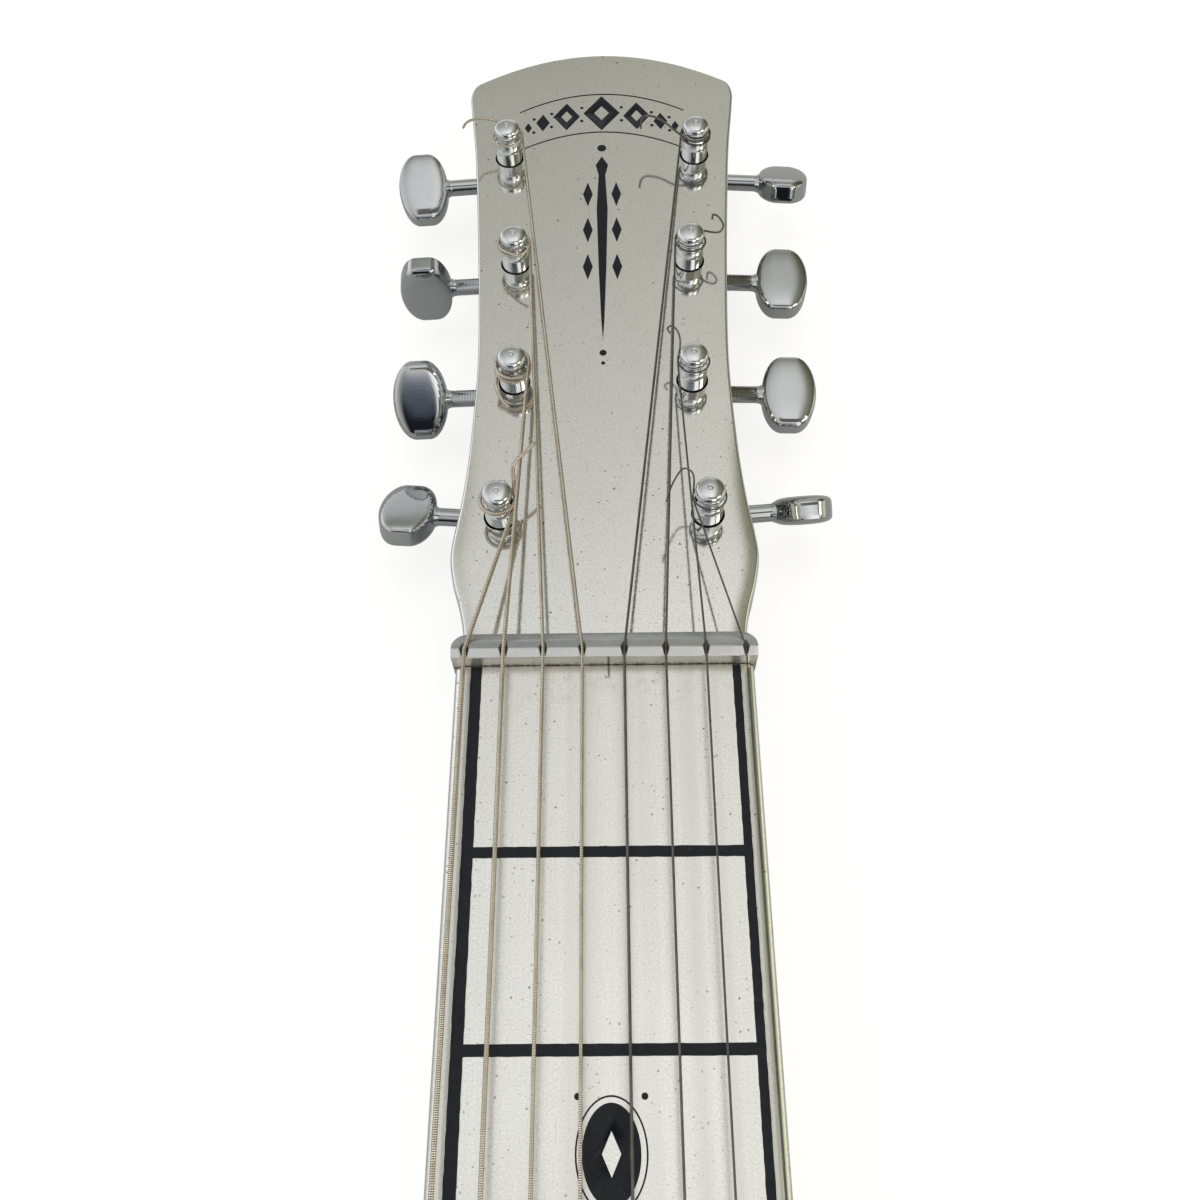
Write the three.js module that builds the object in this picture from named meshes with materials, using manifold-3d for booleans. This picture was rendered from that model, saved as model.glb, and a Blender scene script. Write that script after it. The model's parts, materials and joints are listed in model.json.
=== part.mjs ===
// Eight-string lap steel guitar, cast in aluminium: head, neck and a round hollow body in one piece.
// Millimetres, +Z up, +Y towards the head, +X to the treble side. The back rests on z = 0.
import * as THREE from 'three';
import { mergeVertices } from 'three/addons/utils/BufferGeometryUtils.js';
import Module from 'manifold-3d';

const wasm = await Module();
wasm.setup();

// Driving dimensions of the whole instrument
const GAP = 0.3;
const SCALE_LENGTH = 609.6;
const HEAD_LENGTH = 177.6;
const TAIL_LENGTH = 62;
const OVERALL = HEAD_LENGTH + SCALE_LENGTH + TAIL_LENGTH;
// A height above every piece, where cuts that come down from above start
const ABOVE = 60;
const NUT_Y = OVERALL / 2 - HEAD_LENGTH;
const BRIDGE_Y = NUT_Y - SCALE_LENGTH;
const BOARD_Z = 40;
const BOARD_LENGTH = 463;

// Head, seen from above: half widths at distances in front of the nut
const HEAD_DROP = 8;
const HEAD_Z = BOARD_Z - HEAD_DROP;
const HEAD_THICK = 10.5;
const HEAD_EDGE = 1.2;
const HEAD_SIDE = [
  [8, 27.6], [13, 28.0], [18, 29.0], [23, 30.4], [29, 31.3], [34.5, 30.9], [43.5, 29.6],
  [58, 28.4], [80, 27.8], [108.5, 28.9], [140, 30.8], [156, 32.4], [162, 33.0],
];
const HEAD_CORNER_Y = 168;
const HEAD_CORNER_X = 30.5;

// Neck and nut
const NECK_NUT_WIDTH = 55.6;
const NECK_BODY_WIDTH = 60.3;
const NECK_FLAT = 9;
const NECK_WALL = 5;
const HOLLOW_HALF = 18.5;
const HOLLOW_SHOULDER = 15;
const HOLLOW_END = 45;
const HEEL_START = 14;
const BOARD_END = 0.95;
const NUT_LENGTH = 6;
const NUT_WIDTH = 56.4;
const NUT_FRONT_HEIGHT = 3.3;
const NUT_RIDGE_BACK = 1.2;
const NUT_RIDGE_HEIGHT = 4.5;
const NUT_REAR_HEIGHT = 2.4;
const NUT_SEAT = 4;
const NOTCH_FLOOR = 3.6;

// Round body
const PAN_RADIUS = 115;
const PAN_Y = BRIDGE_Y - TAIL_LENGTH + PAN_RADIUS;
const PAN_TOP = 36;
const PAN_SKIN = 3;
const PAN_WALL = 6.5;
const PAN_SIDES = 48;
const HOLLOW_SIDES = 32;
const COVER_RADIUS = 110;
const COVER_SEAT_RADIUS = 111.3;
const COVER_THICK = 2;
const COVER_BOTTOM = 2.2;
const COVER_SEAT = COVER_BOTTOM + COVER_THICK + GAP;
const COVER_SCREW_CIRCLE = 102;
const COVER_SCREW_ANGLES = [90, 210, 330];
const COVER_SCREW_RADIUS = 1.5;
const BOSS_RADIUS = 6;

// Tuners: eight posts in two columns of four, row 1 at the head's end
const POST_ROWS = [
  { y: 141.1, x: 22.5, fan: -4.5 },
  { y: 107.0, x: 20.0, fan: -3 },
  { y: 72.7, x: 19.4, fan: -2 },
  { y: 38.6, x: 21.3, fan: 4.5 },
];
const POST_RADIUS = 3.1;
const POST_HOLE = 3.5;
const POST_GROOVE = 7.0;
const POST_CAP = 7.7;
const POST_CAP_RADIUS = 3.25;
const POST_TOP = 10.0;
const KEY_DROP = 17.2;
const KEY_OFFSET = 9.3;
const KEY_Z = HEAD_Z - KEY_DROP;
const SHAFT_RADIUS = 2;
const GEAR_TEETH = 15;
const GEAR_PITCH_RADIUS = 6;
const GEAR_TIP = 6.5;
const GEAR_ROOT = 5.1;
const GEAR_WIDTH = 4;
const WORM_TIP = 3.8;
const WORM_ROOT = 2.3;
const WORM_PITCH = 2 * Math.PI * GEAR_PITCH_RADIUS / GEAR_TEETH;
const WORM_TURNS = 2;
const WORM_STEPS = 8;
const HOUSING_HALF = 8.4;
const HOUSING_FRONT = -8.4;
const HOUSING_BACK = 14.6;
const HOUSING_WALL = 1.1;
const HOUSING_DEPTH = 5.2;
const BUTTON_START = 17;
const BUTTON_LENGTH = 12.5;
const BUTTON_HEIGHT = 17.5;
const BUTTON_THICK = 6.3;
// How far each button's face is turned up from facing the player's side, as it was left
const BUTTON_TURNS = { left: [70, 1, 41, 118], right: [114, 85, 80, -32] };

// Strings, thickest first, from the bass side to the treble side
const BRIDGE_SPREAD = 59;
const SADDLE_RADIUS = 3;
const SADDLE_Z = 45.3;
const WIND_Z = HEAD_Z + 7.1;
const WIND_GAP = 0.32;
const TURN_SPACE = 0.5;
const LOOP_STEPS = 24;
const STRING_SIDES = 6;
// Each string makes whole loops and then leaves its post at an angle, counted from the inner side.
// Its tail is a list of points beside the post: outwards, towards the head's end, above the head.
const STRINGS = [
  {
    nutX: -25.7, row: 3, side: -1, thick: 1.07, loops: 1, leave: 20,
    tail: [[-3.3, 3.4, 9.0], [-3.3, 4.9, 10.8], [-4.2, 6.2, 11.5], [-5.6, 7.6, 11.7], [-7.6, 9.8, 11.9]],
  },
  {
    nutX: -18.5, row: 2, side: -1, thick: 0.91, loops: 2, leave: 200, down: true,
    tail: [[3.6, -3.6, 3.4], [2.6, -5.6, 2.0], [1.0, -7.3, 1.0]],
  },
  {
    nutX: -11.2, row: 1, side: -1, thick: 0.76, loops: 1, leave: 240,
    tail: [[-0.4, -4.8, 7.9], [-2.4, -5.9, 8.3]],
  },
  {
    nutX: -4.0, row: 0, side: -1, thick: 0.66, loops: 1, leave: 90,
    tail: [[4.0, 4.1, 8.0], [7.4, 3.8, 8.6], [9.6, 2.2, 9.0], [10.4, 0.4, 9.0]],
  },
  {
    nutX: 3.7, row: 0, side: 1, thick: 0.51, loops: 1, leave: 300,
    tail: [[-4.6, -1.3, 8.2], [-8.2, 1.9, 9.0], [-11.4, 3.0, 9.4], [-12.8, 1.6, 9.4], [-13.2, -1.0, 9.2]],
  },
  {
    nutX: 11.3, row: 1, side: 1, thick: 0.43, loops: 1, leave: 110,
    tail: [
      [3.9, 1.2, 8.0], [6.4, 0.6, 8.4], [7.4, 2.2, 8.8], [6.4, 4.4, 9.2], [5.2, 4.9, 9.4], [4.9, 3.2, 9.8],
    ],
  },
  {
    nutX: 18.7, row: 2, side: 1, thick: 0.38, loops: 1, leave: 20,
    tail: [[-2.8, 3.4, 8.4], [-3.2, 5.4, 9.4], [-4.4, 6.9, 9.8], [-5.5, 6.2, 9.9], [-5.0, 4.9, 9.9]],
  },
  {
    nutX: 26.0, row: 3, side: 1, thick: 0.33, loops: 1, leave: 10,
    tail: [[-3.2, 2.4, 9.4], [-3.9, 3.4, 10.8], [-5.75, 3.1, 11.6], [-7.9, -1.0, 12.0], [-9.0, -4.6, 12.0]],
  },
];

// Pickup, on the top of the round body: heights are above the surface that the guitar lies on
const PICKUP_Y = BRIDGE_Y + 46;
const PICKUP_SIZE = [94, 38];
const PICKUP_WINDOW = [72, 24];
const PICKUP_TOP = 44.6;
const PICKUP_SCREW_X = 42;
const PICKUP_SCREW_RADIUS = 1.2;
const PICKUP_HEAD_RADIUS = 2.7;
const BOBBIN_SIZE = [71, 23];
const BOBBIN_FLANGES = [[29, 31], [43, 45]];
const BOBBIN_CORE_WALL = 2;
const COIL_SIZE = [69, 21];
const BLADE_SIZE = [61, 3];
const BLADE_HEIGHTS = [27, 46];
const MAGNET_SIZE = [60, 16];
const MAGNET_HEIGHTS = [20.7, 26.7];

// Bridge: a screwed plate that carries the saddle bar and a slotted lip for the strings' ends
const PLATE_THICK = 2.5;
const PLATE_WIDTH = 78;
const PLATE_FRONT = 12;
const PLATE_BACK = -34;
const PLATE_SCREWS = [[-34, 8], [34, 8], [-34, -16], [34, -16]];
const PLATE_SCREW_RADIUS = 1.4;
const PLATE_HEAD_RADIUS = 3;
const SADDLE_HALF = 32.5;
const SEAT_HALF = [33, 5];
const LIP_HALF = 34;
const LIP_Y = -28;
const LIP_THICK = 3;
const LIP_TOP = 45.5;
const SLOT_WIDTH = 1.9;
const SLOT_FLOOR = 41.6;

// Controls beside the strings and the output jack in the tail's edge, placed from the pan's middle
const CONTROLS = [
  { name: 'volume', x: 76, y: -34 },
  { name: 'tone', x: 76, y: 18 },
];
const CONTROL_SHAFT_RADIUS = 3;
const CONTROL_SHAFT_TOP = PAN_TOP + 12;
const KNOB_RADIUS = 11.5;
const KNOB_HEIGHT = 14;
const KNOB_LIFT = 3.6;
const POT_RADIUS = 12;
const POT_DEPTH = 10;
const BUSHING_RADIUS = 4.4;
const CAPACITOR = { x: 76, y: -8, z: 17, radius: 3.4, length: 17 };
const JACK_X = 52;
const JACK_Z = 18;
const JACK_FLOOR_Y = -97;
const JACK_INNER_Y = -88.5;
const JACK_RADIUS = 4.6;
const JACK_BORE = 3.3;
const JACK_SHELL_RADIUS = 8;
const JACK_SHELL_LENGTH = 20;
const JACK_BOSS_RADIUS = 12;
const JACK_RECESS_RADIUS = 10;
const JACK_NUT_RADIUS = 7.6;
const JACK_NUT_THICK = 2.6;

// Colours and finishes of the real pieces
const FINISHES = {
  casting: [0xb9b9b2, 0.42, 0.85],
  chrome: [0xd4d6d8, 0.12, 1],
  steel: [0x9a9c9e, 0.3, 1],
  wound: [0xa39a8c, 0.35, 1],
  black: [0x17171a, 0.4, 0],
  brass: [0xb08d4a, 0.35, 1],
  copper: [0xa5572c, 0.4, 0.9],
  cover: [0xa9aaa6, 0.5, 0.8],
  brown: [0x5b3320, 0.5, 0],
};

const guitar = new THREE.Group();

// Adds one named piece to the instrument or to one of its groups
function piece(name, geometry, finish, parent = guitar) {
  const [color, roughness, metalness] = FINISHES[finish];
  const material = new THREE.MeshStandardMaterial({ color, roughness, metalness });
  material.name = finish;
  const mesh = new THREE.Mesh(geometry, material);
  mesh.name = name;
  parent.add(mesh);
  return mesh;
}

// Solids for cutting and joining
function solid(geometry) {
  const bare = new THREE.BufferGeometry();
  bare.setAttribute('position', geometry.getAttribute('position').clone());
  if (geometry.index) bare.setIndex(geometry.index.clone());
  const merged = mergeVertices(bare, 1e-4);
  const vertProperties = new Float32Array(merged.getAttribute('position').array);
  const triVerts = new Uint32Array(merged.index.array);
  return new wasm.Manifold(new wasm.Mesh({ numProp: 3, vertProperties, triVerts }));
}

function geometryOf(shape) {
  const mesh = shape.getMesh();
  const geometry = new THREE.BufferGeometry();
  geometry.setAttribute('position', new THREE.BufferAttribute(new Float32Array(mesh.vertProperties), 3));
  geometry.setIndex(new THREE.BufferAttribute(new Uint32Array(mesh.triVerts), 1));
  geometry.computeVertexNormals();
  return geometry;
}

function join(parts) {
  return parts.reduce((whole, part) => whole.add(part));
}

function cut(base, tools) {
  return tools.reduce((whole, tool) => whole.subtract(tool), base);
}

// A rod along 'x', 'y' or 'z' from one coordinate to the other, centred on the other two
function rod(axis, radius, from, to, u, v, sides = 16) {
  const geometry = new THREE.CylinderGeometry(radius, radius, to - from, sides);
  const middle = (from + to) / 2;
  if (axis === 'x') geometry.rotateZ(-Math.PI / 2).translate(middle, u, v);
  if (axis === 'y') geometry.translate(u, middle, v);
  if (axis === 'z') geometry.rotateX(Math.PI / 2).translate(u, v, middle);
  return solid(geometry);
}

function block(x0, x1, y0, y1, z0, z1) {
  const geometry = new THREE.BoxGeometry(x1 - x0, y1 - y0, z1 - z0);
  return solid(geometry.translate((x0 + x1) / 2, (y0 + y1) / 2, (z0 + z1) / 2));
}

// A plate with round corners, standing on z0
function roundedPlate(width, length, radius, z0, z1, y = 0, corner = 3, edge = 0) {
  const shape = new THREE.Shape();
  const x = width / 2;
  const h = length / 2;
  shape.moveTo(x, -h + radius);
  shape.lineTo(x, h - radius);
  shape.absarc(x - radius, h - radius, radius, 0, Math.PI / 2);
  shape.lineTo(-x + radius, h);
  shape.absarc(-x + radius, h - radius, radius, Math.PI / 2, Math.PI);
  shape.lineTo(-x, -h + radius);
  shape.absarc(-x + radius, -h + radius, radius, Math.PI, 1.5 * Math.PI);
  shape.lineTo(x - radius, -h);
  shape.absarc(x - radius, -h + radius, radius, 1.5 * Math.PI, 2 * Math.PI);
  return extruded(shape, z0, z1, edge, corner).translate(0, y, 0);
}

// An outline raised from z0 to z1, with its top and bottom edges cut back by edge
function extruded(shape, z0, z1, edge = 0, curveSegments = 6) {
  const geometry = new THREE.ExtrudeGeometry(shape, {
    depth: z1 - z0 - 2 * edge,
    bevelEnabled: edge > 0,
    bevelThickness: edge,
    bevelSize: edge,
    bevelOffset: -edge,
    bevelSegments: 1,
    curveSegments,
  });
  return geometry.translate(0, 0, z0 + edge);
}

function turned(profile, sides) {
  const points = profile.map(([r, z]) => new THREE.Vector2(r, z));
  return new THREE.LatheGeometry(points, sides).rotateX(Math.PI / 2);
}

// Six times the volume inside a closed mesh, below zero where its faces point inwards
function volumeSign(positions, index) {
  const corner = (i) => new THREE.Vector3().fromArray(positions, 3 * index[i]);
  let sum = 0;
  for (let i = 0; i < index.length; i += 3) {
    sum += corner(i).dot(corner(i + 1).cross(corner(i + 2)));
  }
  return sum;
}

function flipped(index) {
  const turnedOver = Array.from(index);
  for (let i = 0; i < turnedOver.length; i += 3) {
    [turnedOver[i + 1], turnedOver[i + 2]] = [turnedOver[i + 2], turnedOver[i + 1]];
  }
  return turnedOver;
}

// A closed skin over rings of points that all have the same count
function loft(rings) {
  const count = rings[0].length;
  const positions = rings.flat().flatMap((p) => [p.x, p.y, p.z]);
  const index = [];
  for (let i = 0; i + 1 < rings.length; i += 1) {
    for (let j = 0; j < count; j += 1) {
      const a = i * count + j;
      const b = i * count + (j + 1) % count;
      index.push(a, b, a + count, b, b + count, a + count);
    }
  }
  const flat = rings[0].map((p) => new THREE.Vector2(p.u, p.v));
  const triangles = THREE.ShapeUtils.triangulateShape(flat, []).flat();
  const cap = THREE.ShapeUtils.area(flat) < 0 ? flipped(triangles) : triangles;
  const last = (rings.length - 1) * count;
  index.push(...flipped(cap));
  index.push(...cap.map((corner) => last + corner));
  const geometry = new THREE.BufferGeometry();
  geometry.setAttribute('position', new THREE.Float32BufferAttribute(positions, 3));
  geometry.setIndex(volumeSign(positions, index) < 0 ? flipped(index) : index);
  geometry.computeVertexNormals();
  return geometry;
}

// The casting's neck: a flat top with eased edges over a rounded back that ends in a narrow flat
function neckRing(y, halfWidth, bottom) {
  const h = BOARD_Z - bottom;
  const right = [
    [NECK_FLAT, 0], [halfWidth - 13, 0.07], [halfWidth - 6, 0.27], [halfWidth - 1.2, 0.56],
    [halfWidth, 0.8], [halfWidth - 0.2, 0.955], [halfWidth - 1.6, 1],
  ];
  const left = right.map(([x, t]) => [-x, t]).reverse();
  return [...right, ...left].map(([x, t]) => ({ x, y, z: bottom + t * h, u: x, v: t * h }));
}

function neckHalf(y) {
  const t = (NUT_Y - y) / BOARD_LENGTH;
  return (NECK_NUT_WIDTH + (NECK_BODY_WIDTH - NECK_NUT_WIDTH) * t) / 2;
}

function neckSolid() {
  const under = HEAD_Z - HEAD_THICK;
  const heelBottoms = [[HEEL_START, 0], [7, 5], [0, 15], [-5, under], [-9, under]];
  const rings = [neckRing(NUT_Y - BOARD_LENGTH, neckHalf(NUT_Y - BOARD_LENGTH), 0)];
  for (const [back, bottom] of heelBottoms) {
    const y = NUT_Y - back;
    rings.push(neckRing(y, neckHalf(y), bottom));
  }
  return solid(loft(rings.reverse()));
}

// The neck's core, which opens into the round body
function neckHollow() {
  const right = [[12, NECK_WALL + 1], [HOLLOW_HALF, HOLLOW_SHOULDER], [HOLLOW_HALF, BOARD_Z - NECK_WALL]];
  const left = right.map(([x, z]) => [-x, z]).reverse();
  const section = (y) => [...right, ...left].map(([x, z]) => ({ x, y, z, u: x, v: z }));
  return solid(loft([section(NUT_Y - HOLLOW_END), section(PAN_Y)]));
}

function headShape() {
  const right = HEAD_SIDE.map(([y, x]) => new THREE.Vector2(x, NUT_Y + y));
  const left = right.map((p) => new THREE.Vector2(-p.x, p.y)).reverse();
  const rightSpline = new THREE.SplineCurve(right).getPoints(20);
  const leftSpline = new THREE.SplineCurve(left).getPoints(20);
  const endX = HEAD_SIDE.at(-1)[1];
  const cornerY = NUT_Y + HEAD_CORNER_Y;
  const archY = NUT_Y + 2 * HEAD_LENGTH - HEAD_CORNER_Y;
  const shape = new THREE.Shape(rightSpline);
  shape.quadraticCurveTo(endX, cornerY - 1.2, HEAD_CORNER_X, cornerY);
  shape.quadraticCurveTo(0, archY, -HEAD_CORNER_X, cornerY);
  shape.quadraticCurveTo(-endX, cornerY - 1.2, leftSpline[0].x, leftSpline[0].y);
  leftSpline.slice(1).forEach((p) => shape.lineTo(p.x, p.y));
  return shape;
}

function postPlaces() {
  return POST_ROWS.flatMap((row, i) => [-1, 1].map((side) => ({
    side,
    row: i,
    x: side * row.x,
    y: NUT_Y + row.y,
    fan: side * THREE.MathUtils.degToRad(row.fan),
  })));
}

function coverScrewPlaces() {
  return COVER_SCREW_ANGLES.map((degrees) => {
    const angle = THREE.MathUtils.degToRad(degrees);
    return [COVER_SCREW_CIRCLE * Math.cos(angle), PAN_Y + COVER_SCREW_CIRCLE * Math.sin(angle)];
  });
}

// The round body, open at the back, with its cover seat
function panSolid() {
  const inner = PAN_RADIUS - PAN_WALL;
  const outside = turned([
    [0, 0], [PAN_RADIUS - 1.5, 0], [PAN_RADIUS, 1.5], [PAN_RADIUS, 26], [PAN_RADIUS - 1.2, 30.5],
    [PAN_RADIUS - 4.5, 34], [PAN_RADIUS - 9, PAN_TOP - 0.6], [PAN_RADIUS - 13, PAN_TOP - 0.6],
    [PAN_RADIUS - 15, PAN_TOP + 0.6], [PAN_RADIUS - 18, PAN_TOP + 0.6], [PAN_RADIUS - 20, PAN_TOP],
    [0, PAN_TOP],
  ], PAN_SIDES).translate(0, PAN_Y, 0);
  const hollow = turned([
    [0, -1], [COVER_SEAT_RADIUS, -1], [COVER_SEAT_RADIUS, COVER_SEAT], [inner, COVER_SEAT],
    [inner, 27], [inner - 6, PAN_TOP - PAN_SKIN], [0, PAN_TOP - PAN_SKIN],
  ], HOLLOW_SIDES).translate(0, PAN_Y, 0);
  return { outside: solid(outside), hollow: solid(hollow) };
}

function bodyCasting() {
  const pan = panSolid();
  const head = solid(extruded(headShape(), HEAD_Z - HEAD_THICK, HEAD_Z, HEAD_EDGE, 8));
  const neck = neckSolid();
  const bosses = coverScrewPlaces().map(([x, y]) => rod('z', BOSS_RADIUS, COVER_SEAT, PAN_TOP - 1, x, y, 8));
  const jackBoss = rod('y', JACK_BOSS_RADIUS, PAN_Y - 103, PAN_Y + JACK_INNER_Y, JACK_X, JACK_Z, 12);
  const hollowed = cut(join([pan.outside, neck]), [pan.hollow, neckHollow()]);
  const whole = join([hollowed, head, ...bosses, jackBoss]);
  const boardEnd = NUT_Y + BOARD_END;
  const nutSeat = block(-ABOVE, ABOVE, boardEnd, boardEnd + NUT_LENGTH + 8, BOARD_Z - NUT_SEAT, ABOVE);
  const topDown = PAN_TOP - PAN_SKIN - 3;
  const pickupHole = pickupBlock(PICKUP_WINDOW, topDown - 5, ABOVE);
  const postHoles = postPlaces().map(({ x, y }) => rod('z', POST_HOLE, 10, ABOVE, x, y, 12));
  const controlHoles = CONTROLS.map(({ x, y }) => (
    rod('z', BUSHING_RADIUS + GAP, topDown, ABOVE, x, PAN_Y + y, 16)
  ));
  const coverHoles = coverScrewPlaces().map(([x, y]) => rod('z', COVER_SCREW_RADIUS + GAP, 0, 12, x, y, 8));
  const plateHoles = PLATE_SCREWS.map(([x, y]) => (
    rod('z', PLATE_SCREW_RADIUS + GAP, topDown, ABOVE, x, BRIDGE_Y + y, 8)
  ));
  const pickupHoles = [-1, 1].map((side) => (
    rod('z', PICKUP_SCREW_RADIUS + GAP, topDown, ABOVE, side * PICKUP_SCREW_X, PICKUP_Y, 8)
  ));
  const jackHole = rod('y', JACK_RADIUS + GAP, PAN_Y - 110, PAN_Y - 80, JACK_X, JACK_Z, 16);
  const jackRecess = rod('y', JACK_RECESS_RADIUS, PAN_Y - 125, PAN_Y + JACK_FLOOR_Y, JACK_X, JACK_Z, 24);
  return geometryOf(cut(whole, [
    nutSeat, pickupHole, ...postHoles, ...controlHoles, ...coverHoles, ...plateHoles, ...pickupHoles,
    jackHole, jackRecess,
  ]));
}

// Where each string crosses the saddle
function saddleX(i) {
  return BRIDGE_SPREAD * (i / (STRINGS.length - 1) - 0.5);
}

function nutGeometry() {
  const front = NUT_Y + BOARD_END + GAP;
  const back = front + NUT_LENGTH - GAP;
  const ridge = front + NUT_RIDGE_BACK;
  const half = NUT_WIDTH / 2;
  const base = BOARD_Z - NUT_SEAT + GAP;
  const profile = [
    [front, base], [back, base], [back, BOARD_Z + NUT_REAR_HEIGHT - 0.8],
    [back - 0.8, BOARD_Z + NUT_REAR_HEIGHT], [ridge + 0.3, BOARD_Z + NUT_RIDGE_HEIGHT],
    [ridge, BOARD_Z + NUT_RIDGE_HEIGHT], [front, BOARD_Z + NUT_FRONT_HEIGHT],
  ];
  const ring = (x) => profile.map(([y, z]) => ({ x, y, z, u: y, v: z }));
  const bar = solid(loft([ring(-half), ring(half)]));
  const rounded = solid(roundedPlate(NUT_WIDTH, 24, 3.6, 30, 50, back - 12, 4));
  const notches = STRINGS.map((string) => {
    const x = string.nutX;
    const floor = BOARD_Z + NOTCH_FLOOR;
    const half0 = string.thick / 2 + GAP;
    const outline = [[-half0, floor], [half0, floor], [2.2, floor + 1.6], [-2.2, floor + 1.6]];
    const section = (y) => outline.map(([u, v]) => ({ x: x + u, y, z: v, u, v }));
    return solid(loft([section(back + 1), section(front - 1)]));
  });
  return geometryOf(cut(bar.intersect(rounded), notches));
}

// Tuner post: round shaft, string groove and domed cap, with its gear below the head
function gearShape() {
  const shape = new THREE.Shape();
  const step = 2 * Math.PI / GEAR_TEETH;
  const start = Math.PI / 2 - step / 2;
  for (let i = 0; i < GEAR_TEETH; i += 1) {
    const middle = start + i * step;
    const corners = [[-0.5, GEAR_ROOT], [0, GEAR_TIP]];
    for (const [part, radius] of corners) {
      const angle = middle + part * step;
      const point = [radius * Math.cos(angle), radius * Math.sin(angle)];
      if (i === 0 && part < 0) shape.moveTo(...point);
      else shape.lineTo(...point);
    }
  }
  return shape;
}

function twisted(geometry, perMillimetre, z) {
  const position = geometry.getAttribute('position');
  for (let i = 0; i < position.count; i += 1) {
    const angle = (position.getZ(i) - z) * perMillimetre;
    const x = position.getX(i);
    const y = position.getY(i);
    position.setX(i, x * Math.cos(angle) - y * Math.sin(angle));
    position.setY(i, x * Math.sin(angle) + y * Math.cos(angle));
  }
  return geometry;
}

function postGeometry() {
  const low = KEY_Z - GEAR_WIDTH / 2;
  const groove = HEAD_Z + POST_GROOVE;
  const profile = [
    [0, low - 1], [2.4, low - 1], [2.4, low + 1], [POST_RADIUS, low + 1], [POST_RADIUS, groove - 0.5],
    [2.6, groove - 0.1], [2.6, HEAD_Z + POST_CAP - 0.1], [POST_CAP_RADIUS, HEAD_Z + POST_CAP],
    [POST_CAP_RADIUS, HEAD_Z + POST_CAP + 0.9], [2.4, HEAD_Z + POST_TOP - 0.5], [0, HEAD_Z + POST_TOP],
  ];
  const shaft = solid(turned(profile, 10));
  const lead = Math.atan(WORM_PITCH / (2 * Math.PI * (WORM_ROOT + WORM_TIP) / 2));
  const teeth = extruded(gearShape(), low, low + GEAR_WIDTH);
  const gear = twisted(teeth, Math.tan(lead) / GEAR_PITCH_RADIUS, KEY_Z);
  return geometryOf(shaft.add(solid(gear)));
}

// Key: button, shaft and worm in one, lying along +x from the post's line
function wormThread() {
  const rings = [];
  const count = WORM_TURNS * WORM_STEPS;
  for (let i = 0; i <= count; i += 1) {
    const turn = i / WORM_STEPS - WORM_TURNS / 2;
    const angle = Math.PI + turn * 2 * Math.PI;
    const middle = turn * WORM_PITCH;
    const corners = [[-0.7, WORM_ROOT - 0.4], [0, WORM_TIP], [0.7, WORM_ROOT - 0.4]];
    rings.push(corners.map(([along, radius]) => ({
      x: middle + along,
      y: radius * Math.cos(angle),
      z: radius * Math.sin(angle),
      u: along,
      v: radius,
    })));
  }
  return rings;
}

function buttonShape() {
  const shape = new THREE.Shape();
  const half = BUTTON_LENGTH / 2;
  const tall = BUTTON_HEIGHT / 2;
  const flat = 2.6;
  shape.moveTo(half - 0.1, 0);
  shape.bezierCurveTo(half, 4.2, flat + 1.9, tall - 0.6, flat, tall);
  shape.lineTo(-flat, tall);
  shape.bezierCurveTo(-flat - 1.9, tall - 0.6, -half, 4.2, -half + 0.1, 0);
  shape.bezierCurveTo(-half, -4.2, -flat - 1.9, -tall + 0.6, -flat, -tall);
  shape.lineTo(flat, -tall);
  shape.bezierCurveTo(flat + 1.9, -tall + 0.6, half, -4.2, half - 0.1, 0);
  return shape;
}

function keyGeometry(turn) {
  const button = extruded(buttonShape(), -BUTTON_THICK / 2, BUTTON_THICK / 2, 1.4, 3);
  button.rotateX(Math.PI / 2).translate(BUTTON_START + BUTTON_LENGTH / 2, 0, 0);
  button.rotateX(-THREE.MathUtils.degToRad(turn));
  const shaft = turned([
    [0, -HOUSING_HALF + 0.2], [1.4, -HOUSING_HALF + 0.2], [1.4, -6.6], [WORM_ROOT, -6.6], [WORM_ROOT, 6.6],
    [SHAFT_RADIUS, 6.6], [SHAFT_RADIUS, BUTTON_START + 2], [0, BUTTON_START + 2],
  ], 8).rotateY(Math.PI / 2);
  const thread = loft(wormThread());
  const whole = join([solid(button), solid(shaft), solid(thread)]);
  return geometryOf(whole).translate(0, KEY_OFFSET, KEY_Z);
}

function housingGeometry() {
  const low = KEY_Z - HOUSING_DEPTH;
  const high = HEAD_Z - HEAD_THICK - GAP;
  const length = HOUSING_BACK - HOUSING_FRONT;
  const middle = (HOUSING_BACK + HOUSING_FRONT) / 2;
  const wall = HOUSING_WALL;
  const outside = solid(roundedPlate(2 * HOUSING_HALF, length, 3, low, high, middle, 1, 0.6));
  const inside = solid(roundedPlate(
    2 * HOUSING_HALF - 2 * wall, length - 2 * wall, 2, low + wall, high - wall, middle, 1,
  ));
  return geometryOf(cut(outside, [
    inside,
    rod('z', POST_HOLE, high - 3, high + 3, 0, 0, 12),
    rod('x', SHAFT_RADIUS + GAP + 0.1, 5, HOUSING_HALF + 3, KEY_OFFSET, KEY_Z, 10),
    rod('x', 1.4 + GAP + 0.1, -HOUSING_HALF - 3, -5, KEY_OFFSET, KEY_Z, 8),
  ]));
}

// The left-hand copy of a right-hand piece
function mirrored(geometry) {
  const copy = geometry.clone().applyMatrix4(new THREE.Matrix4().makeScale(-1, 1, 1));
  copy.setIndex(flipped(copy.index.array));
  copy.computeVertexNormals();
  return copy;
}

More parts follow.
